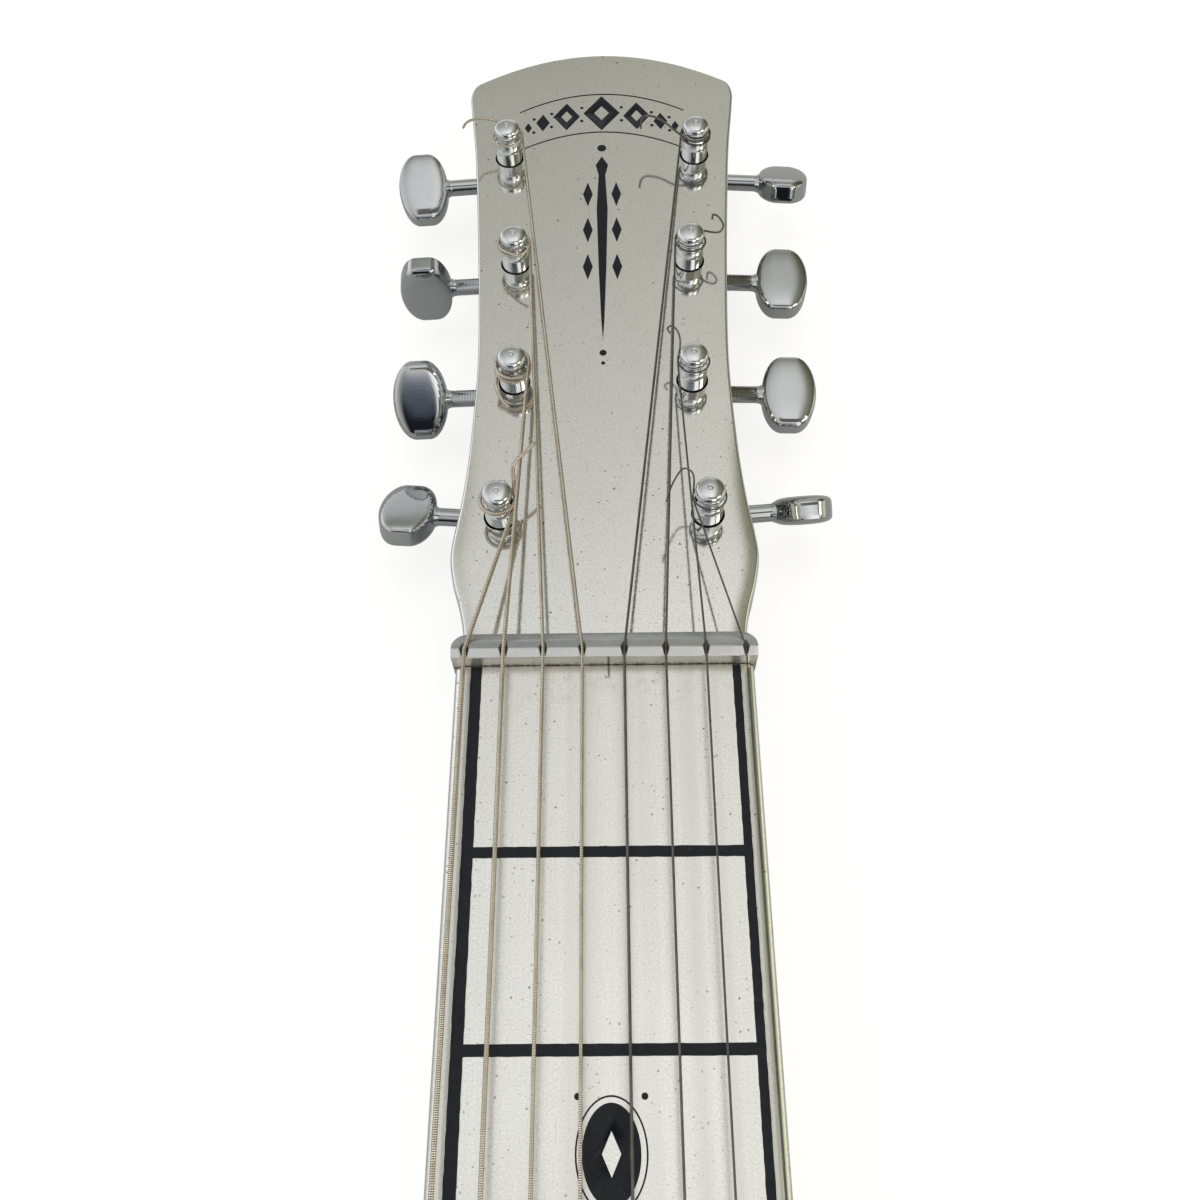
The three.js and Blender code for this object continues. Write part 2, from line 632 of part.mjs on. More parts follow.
function addTuners() {
  const post = postGeometry();
  const housing = housingGeometry();
  for (const place of postPlaces()) {
    const hand = place.side > 0 ? 'right' : 'left';
    const name = `${hand}_${place.row + 1}`;
    const key = keyGeometry(BUTTON_TURNS[hand][place.row]);
    const sided = (geometry) => (place.side > 0 ? geometry : mirrored(geometry));
    const group = new THREE.Group();
    group.position.set(place.x, place.y, 0);
    group.rotation.z = place.fan;
    piece(`tuner_housing_${name}`, sided(housing), 'steel', group);
    piece(`tuner_post_${name}`, sided(post), 'chrome', group);
    piece(`tuner_key_${name}`, sided(key), 'chrome', group);
    guitar.add(group);
  }
}

// A round tube along hand-set or worked-out points, closed at both ends
function tube(points, radius, sides) {
  const rings = [];
  let normal = new THREE.Vector3(0, 0, 1);
  points.forEach((point, i) => {
    const before = points[Math.max(i - 1, 0)];
    const after = points[Math.min(i + 1, points.length - 1)];
    const along = new THREE.Vector3().subVectors(point, before).normalize();
    const ahead = new THREE.Vector3().subVectors(after, point).normalize();
    const tangent = along.add(ahead).normalize();
    normal = normal.clone().addScaledVector(tangent, -normal.dot(tangent)).normalize();
    const side = new THREE.Vector3().crossVectors(tangent, normal);
    const ring = [];
    for (let j = 0; j < sides; j += 1) {
      const angle = j / sides * 2 * Math.PI;
      const u = radius * Math.cos(angle);
      const v = radius * Math.sin(angle);
      const p = point.clone().addScaledVector(side, u).addScaledVector(normal, v);
      ring.push({ x: p.x, y: p.y, z: p.z, u, v });
    }
    rings.push(ring);
  });
  return loft(rings);
}

// One string's whole route: anchor, saddle, nut, turns on its post and its loose tail
function stringRoute(string, i) {
  const row = POST_ROWS[string.row];
  const radius = string.thick / 2;
  const nutPoint = new THREE.Vector3(
    string.nutX, NUT_Y + BOARD_END + NUT_RIDGE_BACK + 0.4, BOARD_Z + NOTCH_FLOOR + GAP + radius,
  );
  const saddleZ = SADDLE_Z + SADDLE_RADIUS + GAP + radius;
  const bridgeX = saddleX(i);
  const anchor = [
    [LIP_Y - 3.4, SLOT_FLOOR + 1.4], [LIP_Y + 2.5, SLOT_FLOOR + 1.6],
    [-2.4, saddleZ - 0.65], [-1, saddleZ - 0.02], [1, saddleZ + 0.03],
  ];
  const points = anchor.map(([y, z]) => new THREE.Vector3(bridgeX, BRIDGE_Y + y, z));
  points.push(nutPoint);
  // Worked out beside a left-hand post, then turned over for the right-hand ones
  const flip = -string.side;
  const centre = new THREE.Vector2(flip * string.side * row.x, NUT_Y + row.y);
  const from = new THREE.Vector2(flip * nutPoint.x, nutPoint.y).sub(centre);
  const wind = POST_RADIUS + WIND_GAP + radius;
  const circle = 2 * Math.PI;
  const first = from.angle() + Math.acos(wind / from.length());
  const part = THREE.MathUtils.euclideanModulo(THREE.MathUtils.degToRad(string.leave) - first, circle);
  const sweep = string.loops * circle + part;
  const steps = Math.ceil(sweep / circle * LOOP_STEPS);
  const climb = (string.thick + TURN_SPACE) * sweep / circle;
  for (let k = 0; k <= steps; k += 1) {
    const angle = first + sweep * k / steps;
    const x = centre.x + wind * Math.cos(angle);
    const y = centre.y + wind * Math.sin(angle);
    const z = WIND_Z - climb * (string.down ? k : steps - k) / steps;
    points.push(new THREE.Vector3(flip * x, y, z));
  }
  for (const [out, up, above] of string.tail) {
    points.push(new THREE.Vector3(string.side * (row.x + out), NUT_Y + row.y + up, HEAD_Z + above));
  }
  return points;
}

// Least gap from a tube to itself, counting only stations more than half a loop apart
function selfGap(points, thick) {
  let least = Infinity;
  for (let i = 0; i < points.length; i += 1) {
    for (let j = i + LOOP_STEPS / 2; j < points.length; j += 1) {
      least = Math.min(least, points[i].distanceTo(points[j]) - thick);
    }
  }
  return least;
}

function addStrings() {
  STRINGS.forEach((string, i) => {
    const points = stringRoute(string, i);
    const name = `string_${STRINGS.length - i}`;
    const finish = string.thick > 0.6 ? 'wound' : 'steel';
    piece(name, tube(points, string.thick / 2, STRING_SIDES), finish);
    console.log(`${name}: least gap to itself ${selfGap(points, string.thick).toFixed(2)} mm`);
  });
}

// A block, or a plate with round corners, centred on the pickup
function pickupBlock([width, length], low, high) {
  return block(-width / 2, width / 2, PICKUP_Y - length / 2, PICKUP_Y + length / 2, low, high);
}

function pickupPlate([width, length], corner, low, high, edge = 0) {
  return solid(roundedPlate(width, length, corner, low, high, PICKUP_Y, 3, edge));
}

function grown([width, length], by) {
  return [width + by, length + by];
}

function addPickup() {
  const base = PAN_TOP + GAP;
  const frame = pickupPlate(PICKUP_SIZE, 6, base, PICKUP_TOP, 1.2);
  const opening = pickupBlock(PICKUP_WINDOW, base - 5, ABOVE);
  const sides = [-PICKUP_SCREW_X, PICKUP_SCREW_X];
  const headSeat = PICKUP_TOP - 2;
  const screwWays = sides.map((x) => rod('z', PICKUP_SCREW_RADIUS + GAP, base - 5, ABOVE, x, PICKUP_Y, 8));
  const headWays = sides.map((x) => rod('z', PICKUP_HEAD_RADIUS + GAP, headSeat, ABOVE, x, PICKUP_Y, 12));
  piece('pickup_frame', geometryOf(cut(frame, [opening, ...screwWays, ...headWays])), 'chrome');

  const [[low, under], [over, high]] = BOBBIN_FLANGES;
  const coreSize = grown(BLADE_SIZE, 2 * BOBBIN_CORE_WALL);
  const bobbin = join([
    pickupPlate(BOBBIN_SIZE, 4, low, under),
    pickupPlate(coreSize, 1, under - 1, over + 1),
    pickupPlate(BOBBIN_SIZE, 4, over, high),
  ]);
  const slot = pickupBlock(grown(BLADE_SIZE, 2 * GAP), low - 5, ABOVE);
  piece('pickup_bobbin', geometryOf(bobbin.subtract(slot)), 'black');

  const winding = pickupPlate(COIL_SIZE, 5, under + GAP, over - GAP);
  const inside = pickupPlate(grown(coreSize, 2 * GAP), 1, under - 5, over + 5);
  piece('pickup_coil', geometryOf(winding.subtract(inside)), 'copper');
  piece('pickup_blade', geometryOf(pickupBlock(BLADE_SIZE, ...BLADE_HEIGHTS)), 'steel');
  piece('pickup_magnet', geometryOf(pickupBlock(MAGNET_SIZE, ...MAGNET_HEIGHTS)), 'steel');
  sides.forEach((x, i) => {
    const screw = screwGeometry(PICKUP_HEAD_RADIUS, 1.6, PICKUP_SCREW_RADIUS, 9);
    piece(`pickup_screw_${i + 1}`, screw.translate(x, PICKUP_Y, headSeat + GAP), 'steel');
  });
}

// A round-headed screw that points down, its head's underside at z = 0
function screwGeometry(headRadius, headHeight, shankRadius, length) {
  return turned([
    [0, -length], [shankRadius, -length + 0.6], [shankRadius, 0], [headRadius, 0],
    [headRadius * 0.7, headHeight], [0, headHeight],
  ], 10);
}

function addBridge() {
  const low = PAN_TOP + GAP;
  const top = low + PLATE_THICK;
  const middle = BRIDGE_Y + (PLATE_FRONT + PLATE_BACK) / 2;
  const plate = solid(roundedPlate(PLATE_WIDTH, PLATE_FRONT - PLATE_BACK, 5, low, top, middle, 3, 0.5));
  const [seatX, seatY] = SEAT_HALF;
  const seat = block(-seatX, seatX, BRIDGE_Y - seatY, BRIDGE_Y + seatY, top - 0.5, SADDLE_Z - 0.5);
  const lipBack = BRIDGE_Y + LIP_Y;
  const lipFront = lipBack + LIP_THICK;
  const lip = block(-LIP_HALF, LIP_HALF, lipBack, lipFront, top - 0.5, LIP_TOP);
  const groove = rod('x', SADDLE_RADIUS + GAP, -40, 40, BRIDGE_Y, SADDLE_Z, 16);
  const slots = STRINGS.map((string, i) => {
    const x = saddleX(i);
    return block(x - SLOT_WIDTH / 2, x + SLOT_WIDTH / 2, lipBack - 1, lipFront + 1, SLOT_FLOOR, ABOVE);
  });
  const ways = PLATE_SCREWS.map(([x, y]) => (
    rod('z', PLATE_SCREW_RADIUS + GAP, low - 5, ABOVE, x, BRIDGE_Y + y, 8)
  ));
  piece('bridge_plate', geometryOf(cut(join([plate, seat, lip]), [groove, ...slots, ...ways])), 'chrome');

  const bar = rod('x', SADDLE_RADIUS, -SADDLE_HALF, SADDLE_HALF, BRIDGE_Y, SADDLE_Z, 16);
  piece('bridge_saddle', geometryOf(bar), 'steel');
  PLATE_SCREWS.forEach(([x, y], i) => {
    const screw = screwGeometry(PLATE_HEAD_RADIUS, 1.8, PLATE_SCREW_RADIUS, 8);
    piece(`bridge_plate_screw_${i + 1}`, screw.translate(x, BRIDGE_Y + y, top + GAP), 'steel');
  });
}

// One control: its potentiometer under the top, the shaft that turns in it and the knob
function addControl({ name, x, y }) {
  const under = PAN_TOP - PAN_SKIN - GAP;
  const bottom = under - POT_DEPTH;
  const upright = (radius, low, high, sides = 16) => rod('z', radius, low, high, x, PAN_Y + y, sides);
  const can = upright(POT_RADIUS, bottom, under, 20).add(upright(BUSHING_RADIUS, under - 1, PAN_TOP + 3));
  const way = upright(CONTROL_SHAFT_RADIUS + GAP, bottom + 3, ABOVE);
  piece(`${name}_pot`, geometryOf(can.subtract(way)), 'steel');
  const shaft = upright(CONTROL_SHAFT_RADIUS, bottom + 3 + GAP, CONTROL_SHAFT_TOP);
  piece(`${name}_shaft`, geometryOf(shaft), 'brass');
  const low = PAN_TOP + KNOB_LIFT;
  const high = low + KNOB_HEIGHT;
  const outside = turned([
    [0, low], [KNOB_RADIUS, low], [KNOB_RADIUS, low + 2], [KNOB_RADIUS - 1.5, low + 3],
    [KNOB_RADIUS - 2.4, high - 1.4], [KNOB_RADIUS - 4, high], [0, high],
  ], 20).translate(x, PAN_Y + y, 0);
  const socket = upright(CONTROL_SHAFT_RADIUS + GAP, low - 2, CONTROL_SHAFT_TOP + GAP);
  piece(`${name}_knob`, geometryOf(solid(outside).subtract(socket)), 'black');
}

function addCapacitor() {
  const { x, y, z, radius, length } = CAPACITOR;
  const body = new THREE.CylinderGeometry(radius, radius, length, 12);
  piece('tone_capacitor', body.translate(x, PAN_Y + y, z), 'brown');
}

function addJack() {
  const floor = PAN_Y + JACK_FLOOR_Y;
  const inner = PAN_Y + JACK_INNER_Y;
  const nutOutside = floor - GAP - JACK_NUT_THICK;
  const along = (radius, from, to, sides = 16) => rod('y', radius, from, to, JACK_X, JACK_Z, sides);
  const sleeve = along(JACK_RADIUS, nutOutside - 1.7, inner + 2);
  const shell = along(JACK_SHELL_RADIUS, inner + GAP, inner + JACK_SHELL_LENGTH);
  const socket = along(JACK_BORE, nutOutside - 5, inner + JACK_SHELL_LENGTH - 4);
  piece('output_jack', geometryOf(sleeve.add(shell).subtract(socket)), 'steel');
  const hexagon = along(JACK_NUT_RADIUS, nutOutside, floor - GAP, 6);
  const thread = along(JACK_RADIUS + GAP, nutOutside - 5, floor + 3);
  piece('jack_nut', geometryOf(hexagon.subtract(thread)), 'chrome');
}

function addBack() {
  const disc = solid(new THREE.CylinderGeometry(COVER_RADIUS, COVER_RADIUS, COVER_THICK, 48)
    .rotateX(Math.PI / 2).translate(0, PAN_Y, COVER_BOTTOM + COVER_THICK / 2));
  const ways = coverScrewPlaces().map(([x, y]) => rod('z', COVER_SCREW_RADIUS + GAP, 0, 9, x, y, 8));
  piece('back_cover', geometryOf(cut(disc, ways)), 'cover');
  coverScrewPlaces().forEach(([x, y], i) => {
    const screw = screwGeometry(3.4, 1.5, COVER_SCREW_RADIUS, 8).rotateX(Math.PI);
    piece(`back_cover_screw_${i + 1}`, screw.translate(x, y, COVER_BOTTOM - GAP / 2), 'steel');
  });
}

piece('body_casting', bodyCasting(), 'casting');
piece('nut', nutGeometry(), 'chrome');
addTuners();
addStrings();
addPickup();
addBridge();
CONTROLS.forEach(addControl);
addCapacitor();
addJack();
addBack();

export default guitar;
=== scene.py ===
# %% [markdown]
# # A lap steel guitar, dressed over its solid model
# The guitar is one aluminium casting with a head, a neck and a round hollow body. The solid model gives
# the real sizes and everything that moves. Here each piece gets the fine shape and the finish that the
# real one shows. Lengths are written in millimetres, as a maker would, and turned into metres on the way
# into a mesh. +Y runs from the round body to the head, +X is the thin strings' side, and z = 0 is the lap.

# %% Load the solid model as a fixed frame
import json
import math
import random

import bmesh
import bpy
from mathutils import Matrix, Vector


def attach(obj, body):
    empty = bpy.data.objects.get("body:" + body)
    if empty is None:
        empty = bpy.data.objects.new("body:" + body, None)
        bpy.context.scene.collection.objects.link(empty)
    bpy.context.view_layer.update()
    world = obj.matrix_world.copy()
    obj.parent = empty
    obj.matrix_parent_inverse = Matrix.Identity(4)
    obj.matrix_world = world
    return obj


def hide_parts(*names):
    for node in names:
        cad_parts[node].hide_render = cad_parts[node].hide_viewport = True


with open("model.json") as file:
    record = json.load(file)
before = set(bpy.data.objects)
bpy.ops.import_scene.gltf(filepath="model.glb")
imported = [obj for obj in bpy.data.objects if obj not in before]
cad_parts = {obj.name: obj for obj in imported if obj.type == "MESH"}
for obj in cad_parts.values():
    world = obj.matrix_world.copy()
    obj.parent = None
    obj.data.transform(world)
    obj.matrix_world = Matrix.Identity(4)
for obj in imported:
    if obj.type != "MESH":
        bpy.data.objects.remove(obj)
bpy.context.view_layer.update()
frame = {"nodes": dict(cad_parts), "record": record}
MM = 0.001


def mm(*values):
    return Vector(value * MM for value in values)


# %% [markdown]
# The camera comes first, because it decides how much detail each piece needs. It stands above the first
# frets and looks down along the neck to the head. The photograph is 1200 pixels wide, and its focal
# length was worked out in the same pixels, so the lens follows from the two and the sensor's width.

# %% The camera at the photograph's place
PHOTO_SIDE = 1200
FOCAL_PX = 1224.5
SENSOR_WIDTH = 36
CAMERA_AT = mm(2.54, 153.6, 246.9)
LOOK_DOWN = math.radians(62.41)
SWING = math.radians(1.76)
ROLL = math.radians(-2.23)


def make_camera():
    data = bpy.data.cameras.new("photo_camera")
    data.sensor_width = SENSOR_WIDTH
    data.lens = FOCAL_PX / PHOTO_SIDE * SENSOR_WIDTH
    data.clip_start = 0.01
    data.clip_end = 50
    camera = bpy.data.objects.new("photo_camera", data)
    turn = Matrix.Rotation(SWING, 4, "Z") @ Matrix.Rotation(math.pi / 2 - LOOK_DOWN, 4, "X")
    camera.matrix_world = Matrix.Translation(CAMERA_AT) @ turn @ Matrix.Rotation(ROLL, 4, "Z")
    bpy.context.scene.collection.objects.link(camera)
    bpy.context.scene.camera = camera
    return camera


camera = make_camera()
print("camera lens in mm:", round(camera.data.lens, 2))

# %% [markdown]
# The room, the floor and every finish are node trees, and each could be clicked together by hand. In code
# the same few steps come back all the time: add a node, fill its inputs, multiply two shares, mix two
# colours. So those steps get short names once, and the room and the finishes build on them.

# %% A short way to write node trees
class Tree:
    """A node tree, with short names for the few steps that are used again and again."""

    def __init__(self, owner):
        owner.use_nodes = True
        self.nodes, self.links = owner.node_tree.nodes, owner.node_tree.links

    def feed(self, socket, value):
        """Fills an input with a number, a vector or a colour, or links another node's output to it."""
        if isinstance(value, bpy.types.NodeSocket):
            self.links.new(value, socket)
        elif isinstance(value, tuple) and len(socket.default_value) > len(value):
            socket.default_value = (*value, 1)
        else:
            socket.default_value = value

    def new(self, kind, **inputs):
        node = self.nodes.new("ShaderNode" + kind)
        for name, value in inputs.items():
            self.feed(node.inputs[name], value)
        return node

    def math(self, operation, first, second=0):
        node = self.new("Math")
        node.operation = operation
        self.feed(node.inputs[0], first)
        self.feed(node.inputs[1], second)
        return node.outputs[0]

    def both(self, *shares):
        """The product of some shares, so it is full only where all of them are."""
        total = shares[0]
        for share in shares[1:]:
            total = self.math("MULTIPLY", total, share)
        return total

    def levels(self, value, low, high, to_low=0.0, to_high=1.0, soft=False):
        """Stretches a value from low and high to two new ones, and cuts it off there."""
        node = self.new("MapRange", Value=value)
        node.interpolation_type = "SMOOTHSTEP" if soft else "LINEAR"
        for name, number in (("From Min", low), ("From Max", high), ("To Min", to_low), ("To Max", to_high)):
            self.feed(node.inputs[name], number)
        return node.outputs[0]

    def mix(self, share, first, second, way="MIX"):
        node = self.new("Mix")
        node.data_type = "RGBA"
        node.blend_type = way
        for name, value in (("Factor", share), ("A", first), ("B", second)):
            self.feed(node.inputs[name], value)
        return node.outputs["Result"]


print("node steps ready")

# %% [markdown]
# Metal shows its surroundings, so the room matters as much as the lamps. Here it is a soft gradient: a
# pale ceiling, walls that are darker and warmer halfway up, a lighter left side, a brown right side, and
# a dark shape in front. It gives satin aluminium its slow fade from white to grey, and it puts light and
# dark shapes into the chrome. A direction of view has an X, a Y and a Z share between -1 and 1, so a zone
# of the room is written as soft limits on these.

# %% The zones of the room
WHITE = (1, 1, 1)
# Each stop is a height, from the horizon at 0 to straight up at 1, a grey level and its share of blue
WALL_STOPS = [(0.0, 0.50, 0.93), (0.35, 0.40, 0.89), (0.62, 0.41, 0.88), (0.74, 0.53, 0.92),
              (0.84, 0.69, 0.955), (0.95, 0.98, 0.975), (1.0, 1.12, 0.98)]
FRONT_STOPS = [(0.0, 0.012, 1.1), (0.40, 0.022, 1.25), (0.46, 0.11, 1.25), (0.56, 0.31, 1.15),
               (0.68, 0.58, 1.05), (0.84, 0.95, 0.98), (1.0, 1.08, 0.98)]
# Each zone has its soft limits, as an axis with the places where it is empty and full, and its colour or
# stops. The colour is multiplied with what is there, or laid over it.
ZONES = {
    "left_wall": ([("X", -0.38, -0.68)], (1.5, 1.52, 1.58), "MULTIPLY"),
    "left_window": ([("X", -0.55, -0.85), ("Z", 0.10, 0.25)], (1.6, 1.62, 1.72), "MULTIPLY"),
    "right_half": ([("X", -0.06, 0.10)], (1.10, 1.10, 1.08), "MULTIPLY"),
    "right_wall": ([("X", 0.16, 0.44)], (0.46, 0.455, 0.37), "MULTIPLY"),
    "right_window": ([("X", 0.84, 0.94)], (4.4, 4.4, 4.5), "MULTIPLY"),
    "brown_corner": ([("X", 0.20, 0.42), ("X", 0.86, 0.76), ("Z", 0.55, 0.35), ("Y", -0.4, -0.1)],
                     (0.60, 0.52, 0.42), "MULTIPLY"),
    "dark_front": ([("Y", -0.20, -0.45), ("X", -0.50, -0.32), ("X", 0.50, 0.32)], FRONT_STOPS, "MIX"),
    "far_wall": ([("Y", 0.10, 0.75), ("Z", 0.50, 0.10), ("X", 0.60, 0.20)], (1.70, 1.72, 1.86), "MULTIPLY"),
    "dark_band": ([("X", -0.30, -0.12), ("X", 0.56, 0.40), ("Y", -0.12, -0.22), ("Y", -0.52, -0.40)],
                  (0.20, 0.19, 0.165), "MIX"),
    "front_window": ([("X", 0.08, 0.30), ("X", 0.64, 0.50), ("Y", -0.44, -0.56), ("Z", 0.12, 0.28)],
                     (1.7, 1.66, 1.55), "MIX"),
}
print("zones of the room:", list(ZONES))

# %% The room's light: the zones laid over its walls
class Room(Tree):
    """The world's nodes, read by the direction in which a ray leaves the guitar."""

    def __init__(self, world):
        super().__init__(world)
        self.nodes.clear()
        self.axes = self.new("SeparateXYZ", Vector=self.new("TexCoord").outputs["Generated"]).outputs

    def zone(self, limits):
        shares = [self.levels(self.axes[axis], empty, full, soft=True) for axis, empty, full in limits]
        return self.both(*shares)

    def ramp(self, stops):
        node = self.new("ValToRGB", Fac=self.axes["Z"])
        while len(node.color_ramp.elements) < len(stops):
            node.color_ramp.elements.new(0.5)
        for element, (place, grey, blue) in zip(node.color_ramp.elements, stops):
            element.position = place
            element.color = (grey * min(1, 1.6 - 0.6 * blue), grey, grey * blue, 1)
        return node.outputs[0]


def make_room():
    """Lays the zones over the walls; the camera itself sees plain white behind the guitar."""
    world = bpy.data.worlds.new("soft_room")
    bpy.context.scene.world = world
    room = Room(world)
    color = room.ramp(WALL_STOPS)
    for limits, laid, way in ZONES.values():
        laid = room.ramp(laid) if isinstance(laid, list) else laid
        color = room.mix(room.zone(limits), color, laid, way)
    seen = room.mix(room.new("LightPath").outputs["Is Camera Ray"], color, WHITE)
    background = room.new("Background", Color=seen)
    room.new("OutputWorld", Surface=background.outputs[0])


make_room()
print("room's nodes:", len(bpy.context.scene.world.node_tree.nodes))

# %% [markdown]
# The room alone gives no direction to the light. One square lamp, warm and weak, stands for a window to
# the right. It puts a soft shadow on the left and a small bright spot on rounded chrome.

# %% One lamp, like a window to the right
# The lamp's place, aim and side are in metres, because it stands far from the guitar
LAMP_PLACE, LAMP_AIM = (1.35, -0.25, 1.25), (0, 0.25, 0)
LAMP_SIDE = 0.6
LAMP_WATTS = 5.5
LAMP_COLOR = (1.0, 0.94, 0.80)


def make_lamp():
    data = bpy.data.lights.new("window_lamp", "AREA")
    data.shape = "SQUARE"
    data.size = LAMP_SIDE
    data.energy = LAMP_WATTS
    data.color = LAMP_COLOR
    lamp = bpy.data.objects.new("window_lamp", data)
    lamp.location = LAMP_PLACE
    lamp.rotation_euler = (Vector(LAMP_AIM) - Vector(LAMP_PLACE)).to_track_quat("-Z", "Y").to_euler()
    bpy.context.scene.collection.objects.link(lamp)


make_lamp()
bpy.context.scene.view_settings.view_transform = "Standard"
print("lamp in watts:", LAMP_WATTS)

# %% [markdown]
# The floor is a plain pale sheet that takes a soft shadow. For the camera it glows until it reads as
# white, so no more light has to fall on the guitar. For rays from metal and from glass it glows less,
# as a table does that is seen from close by.

# %% The floor
# The floor lies a fraction of a millimetre under the guitar, and its side is in metres
FLOOR_DROP = 0.3
FLOOR_SIZE = 14
FLOOR_PALE = (0.50, 0.50, 0.495)
CAMERA_GLOW = 0.72
METAL_GLOW = 0.12


def floor_finish():
    material = bpy.data.materials.new("pale_floor")
    tree = Tree(material)
    tree.nodes.clear()
    rays = tree.new("LightPath").outputs
    glow = tree.both(rays["Is Camera Ray"], CAMERA_GLOW)
    for ray in ("Is Glossy Ray", "Is Transmission Ray"):
        glow = tree.math("MAXIMUM", glow, tree.both(rays[ray], METAL_GLOW))
    total = tree.new("AddShader")
    tree.feed(total.inputs[0], tree.new("BsdfDiffuse", Color=FLOOR_PALE).outputs[0])
    tree.feed(total.inputs[1], tree.new("Emission", Strength=glow).outputs[0])
    tree.new("OutputMaterial", Surface=total.outputs[0])
    return material


def make_floor():
    bpy.ops.mesh.primitive_plane_add(size=FLOOR_SIZE, location=(0, 0, -FLOOR_DROP * MM))
    floor = bpy.context.object
    floor.name = "floor"
    floor.data.materials.append(floor_finish())


make_floor()
print("floor", FLOOR_SIZE, "m wide")

# %% [markdown]
# Every finish below starts from one small kit: a Principled shader whose colour, roughness and bump come
# from noise that is measured in millimetres on the piece itself. Object coordinates times 1000 give that
# measure, so a scale of 2 means a grain of about half a millimetre on every piece.

# %% A small kit for finishes
class Finish(Tree):
    """One material under construction, with its coordinates in millimetres."""

    def __init__(self, name, color, metallic=0.0, roughness=0.5):
        self.material = bpy.data.materials.new(name)
        super().__init__(self.material)
        self.material.diffuse_color = (*color, 1)
        self.shader = self.nodes["Principled BSDF"]
        for socket, value in (("Base Color", color), ("Metallic", metallic), ("Roughness", roughness)):
            self.feed(self.shader.inputs[socket], value)
        self.place = self.mapped((1000, 1000, 1000))
        self.color = color
        self.rough = None
        self.height = None

    def mapped(self, scale, output="Object", turn=(0, 0, 0)):
        coordinates = self.new("TexCoord").outputs[output]
        return self.new("Mapping", Vector=coordinates, Scale=scale, Rotation=turn).outputs["Vector"]

    def noise(self, scale, detail=3, place=None):
        node = self.new("TexNoise", Vector=place or self.place, Scale=scale, Detail=detail, Roughness=0.55)
        return node.outputs["Fac"]

    def spots(self, scale, size, share):
        """Round spots, size in cells of the pattern; only that share of the cells has one."""
        cells = self.new("TexVoronoi", Vector=self.place, Scale=scale)
        pick = self.new("SeparateColor", Color=cells.outputs["Color"])
        chosen = self.levels(pick.outputs["Red"], share, share + 0.01, 1, 0)
        near = self.levels(cells.outputs["Distance"], size * 0.6, size, 1, 0)
        varied = self.both(near, self.levels(pick.outputs["Green"], 0, 1, 0.4, 1))
        return self.both(varied, chosen)

    def band(self, value, middle, half):
        """1 within half of the middle, with soft sides."""
        apart = self.math("ABSOLUTE", self.math("SUBTRACT", value, middle))
        return self.levels(apart, half, half * 0.6)

    def axes(self):
        split = self.new("SeparateXYZ", Vector=self.place)
        return (split.outputs[axis] for axis in "XYZ")

    def tint(self, share, color):
        """Lays a colour over what is there, by a share from 0 to 1."""
        self.color = self.mix(share, self.color, color)

    def roughen(self, value):
        self.rough = value if self.rough is None else self.math("ADD", self.rough, value)

    def raise_by(self, value, depth):
        """Adds to the height map: depth in millimetres for a value of 1."""
        lifted = self.both(value, depth)
        self.height = lifted if self.height is None else self.math("ADD", self.height, lifted)

    def done(self):
        self.feed(self.shader.inputs["Base Color"], self.color)
        if self.rough is not None:
            self.feed(self.shader.inputs["Roughness"], self.rough)
        if self.height is not None:
            bump = self.new("Bump", Height=self.height, Strength=1, Distance=MM)
            self.feed(self.shader.inputs["Normal"], bump.outputs[0])
        return self.material


print("finish kit ready")

# %% [markdown]
# The casting is polished where hands and cloth reach it, and each side of it was worked in its own way.
# The head is satin with small dark pits, the fretboard is rubbed lengthwise so that it smears what it
# mirrors, and the neck's sides keep a coarse grain. One material does all three, by where a point lies.

# %% The casting's finish
NUT_Y = 247.0
SCALE_LENGTH = 609.6
BRIDGE_Y = NUT_Y - SCALE_LENGTH
PAN_Y = -309.6
BOARD_Z = 40
HEAD_Z = 32
BOARD_END = 0.95
NUT_FRONT = NUT_Y + BOARD_END + 0.16
NUT_BEVEL_LOW = 43.45
CRACK_X, CRACK_HALF = 0.79, 0.26
CRACK_STAIN = (0.17, 0.085, 0.06)


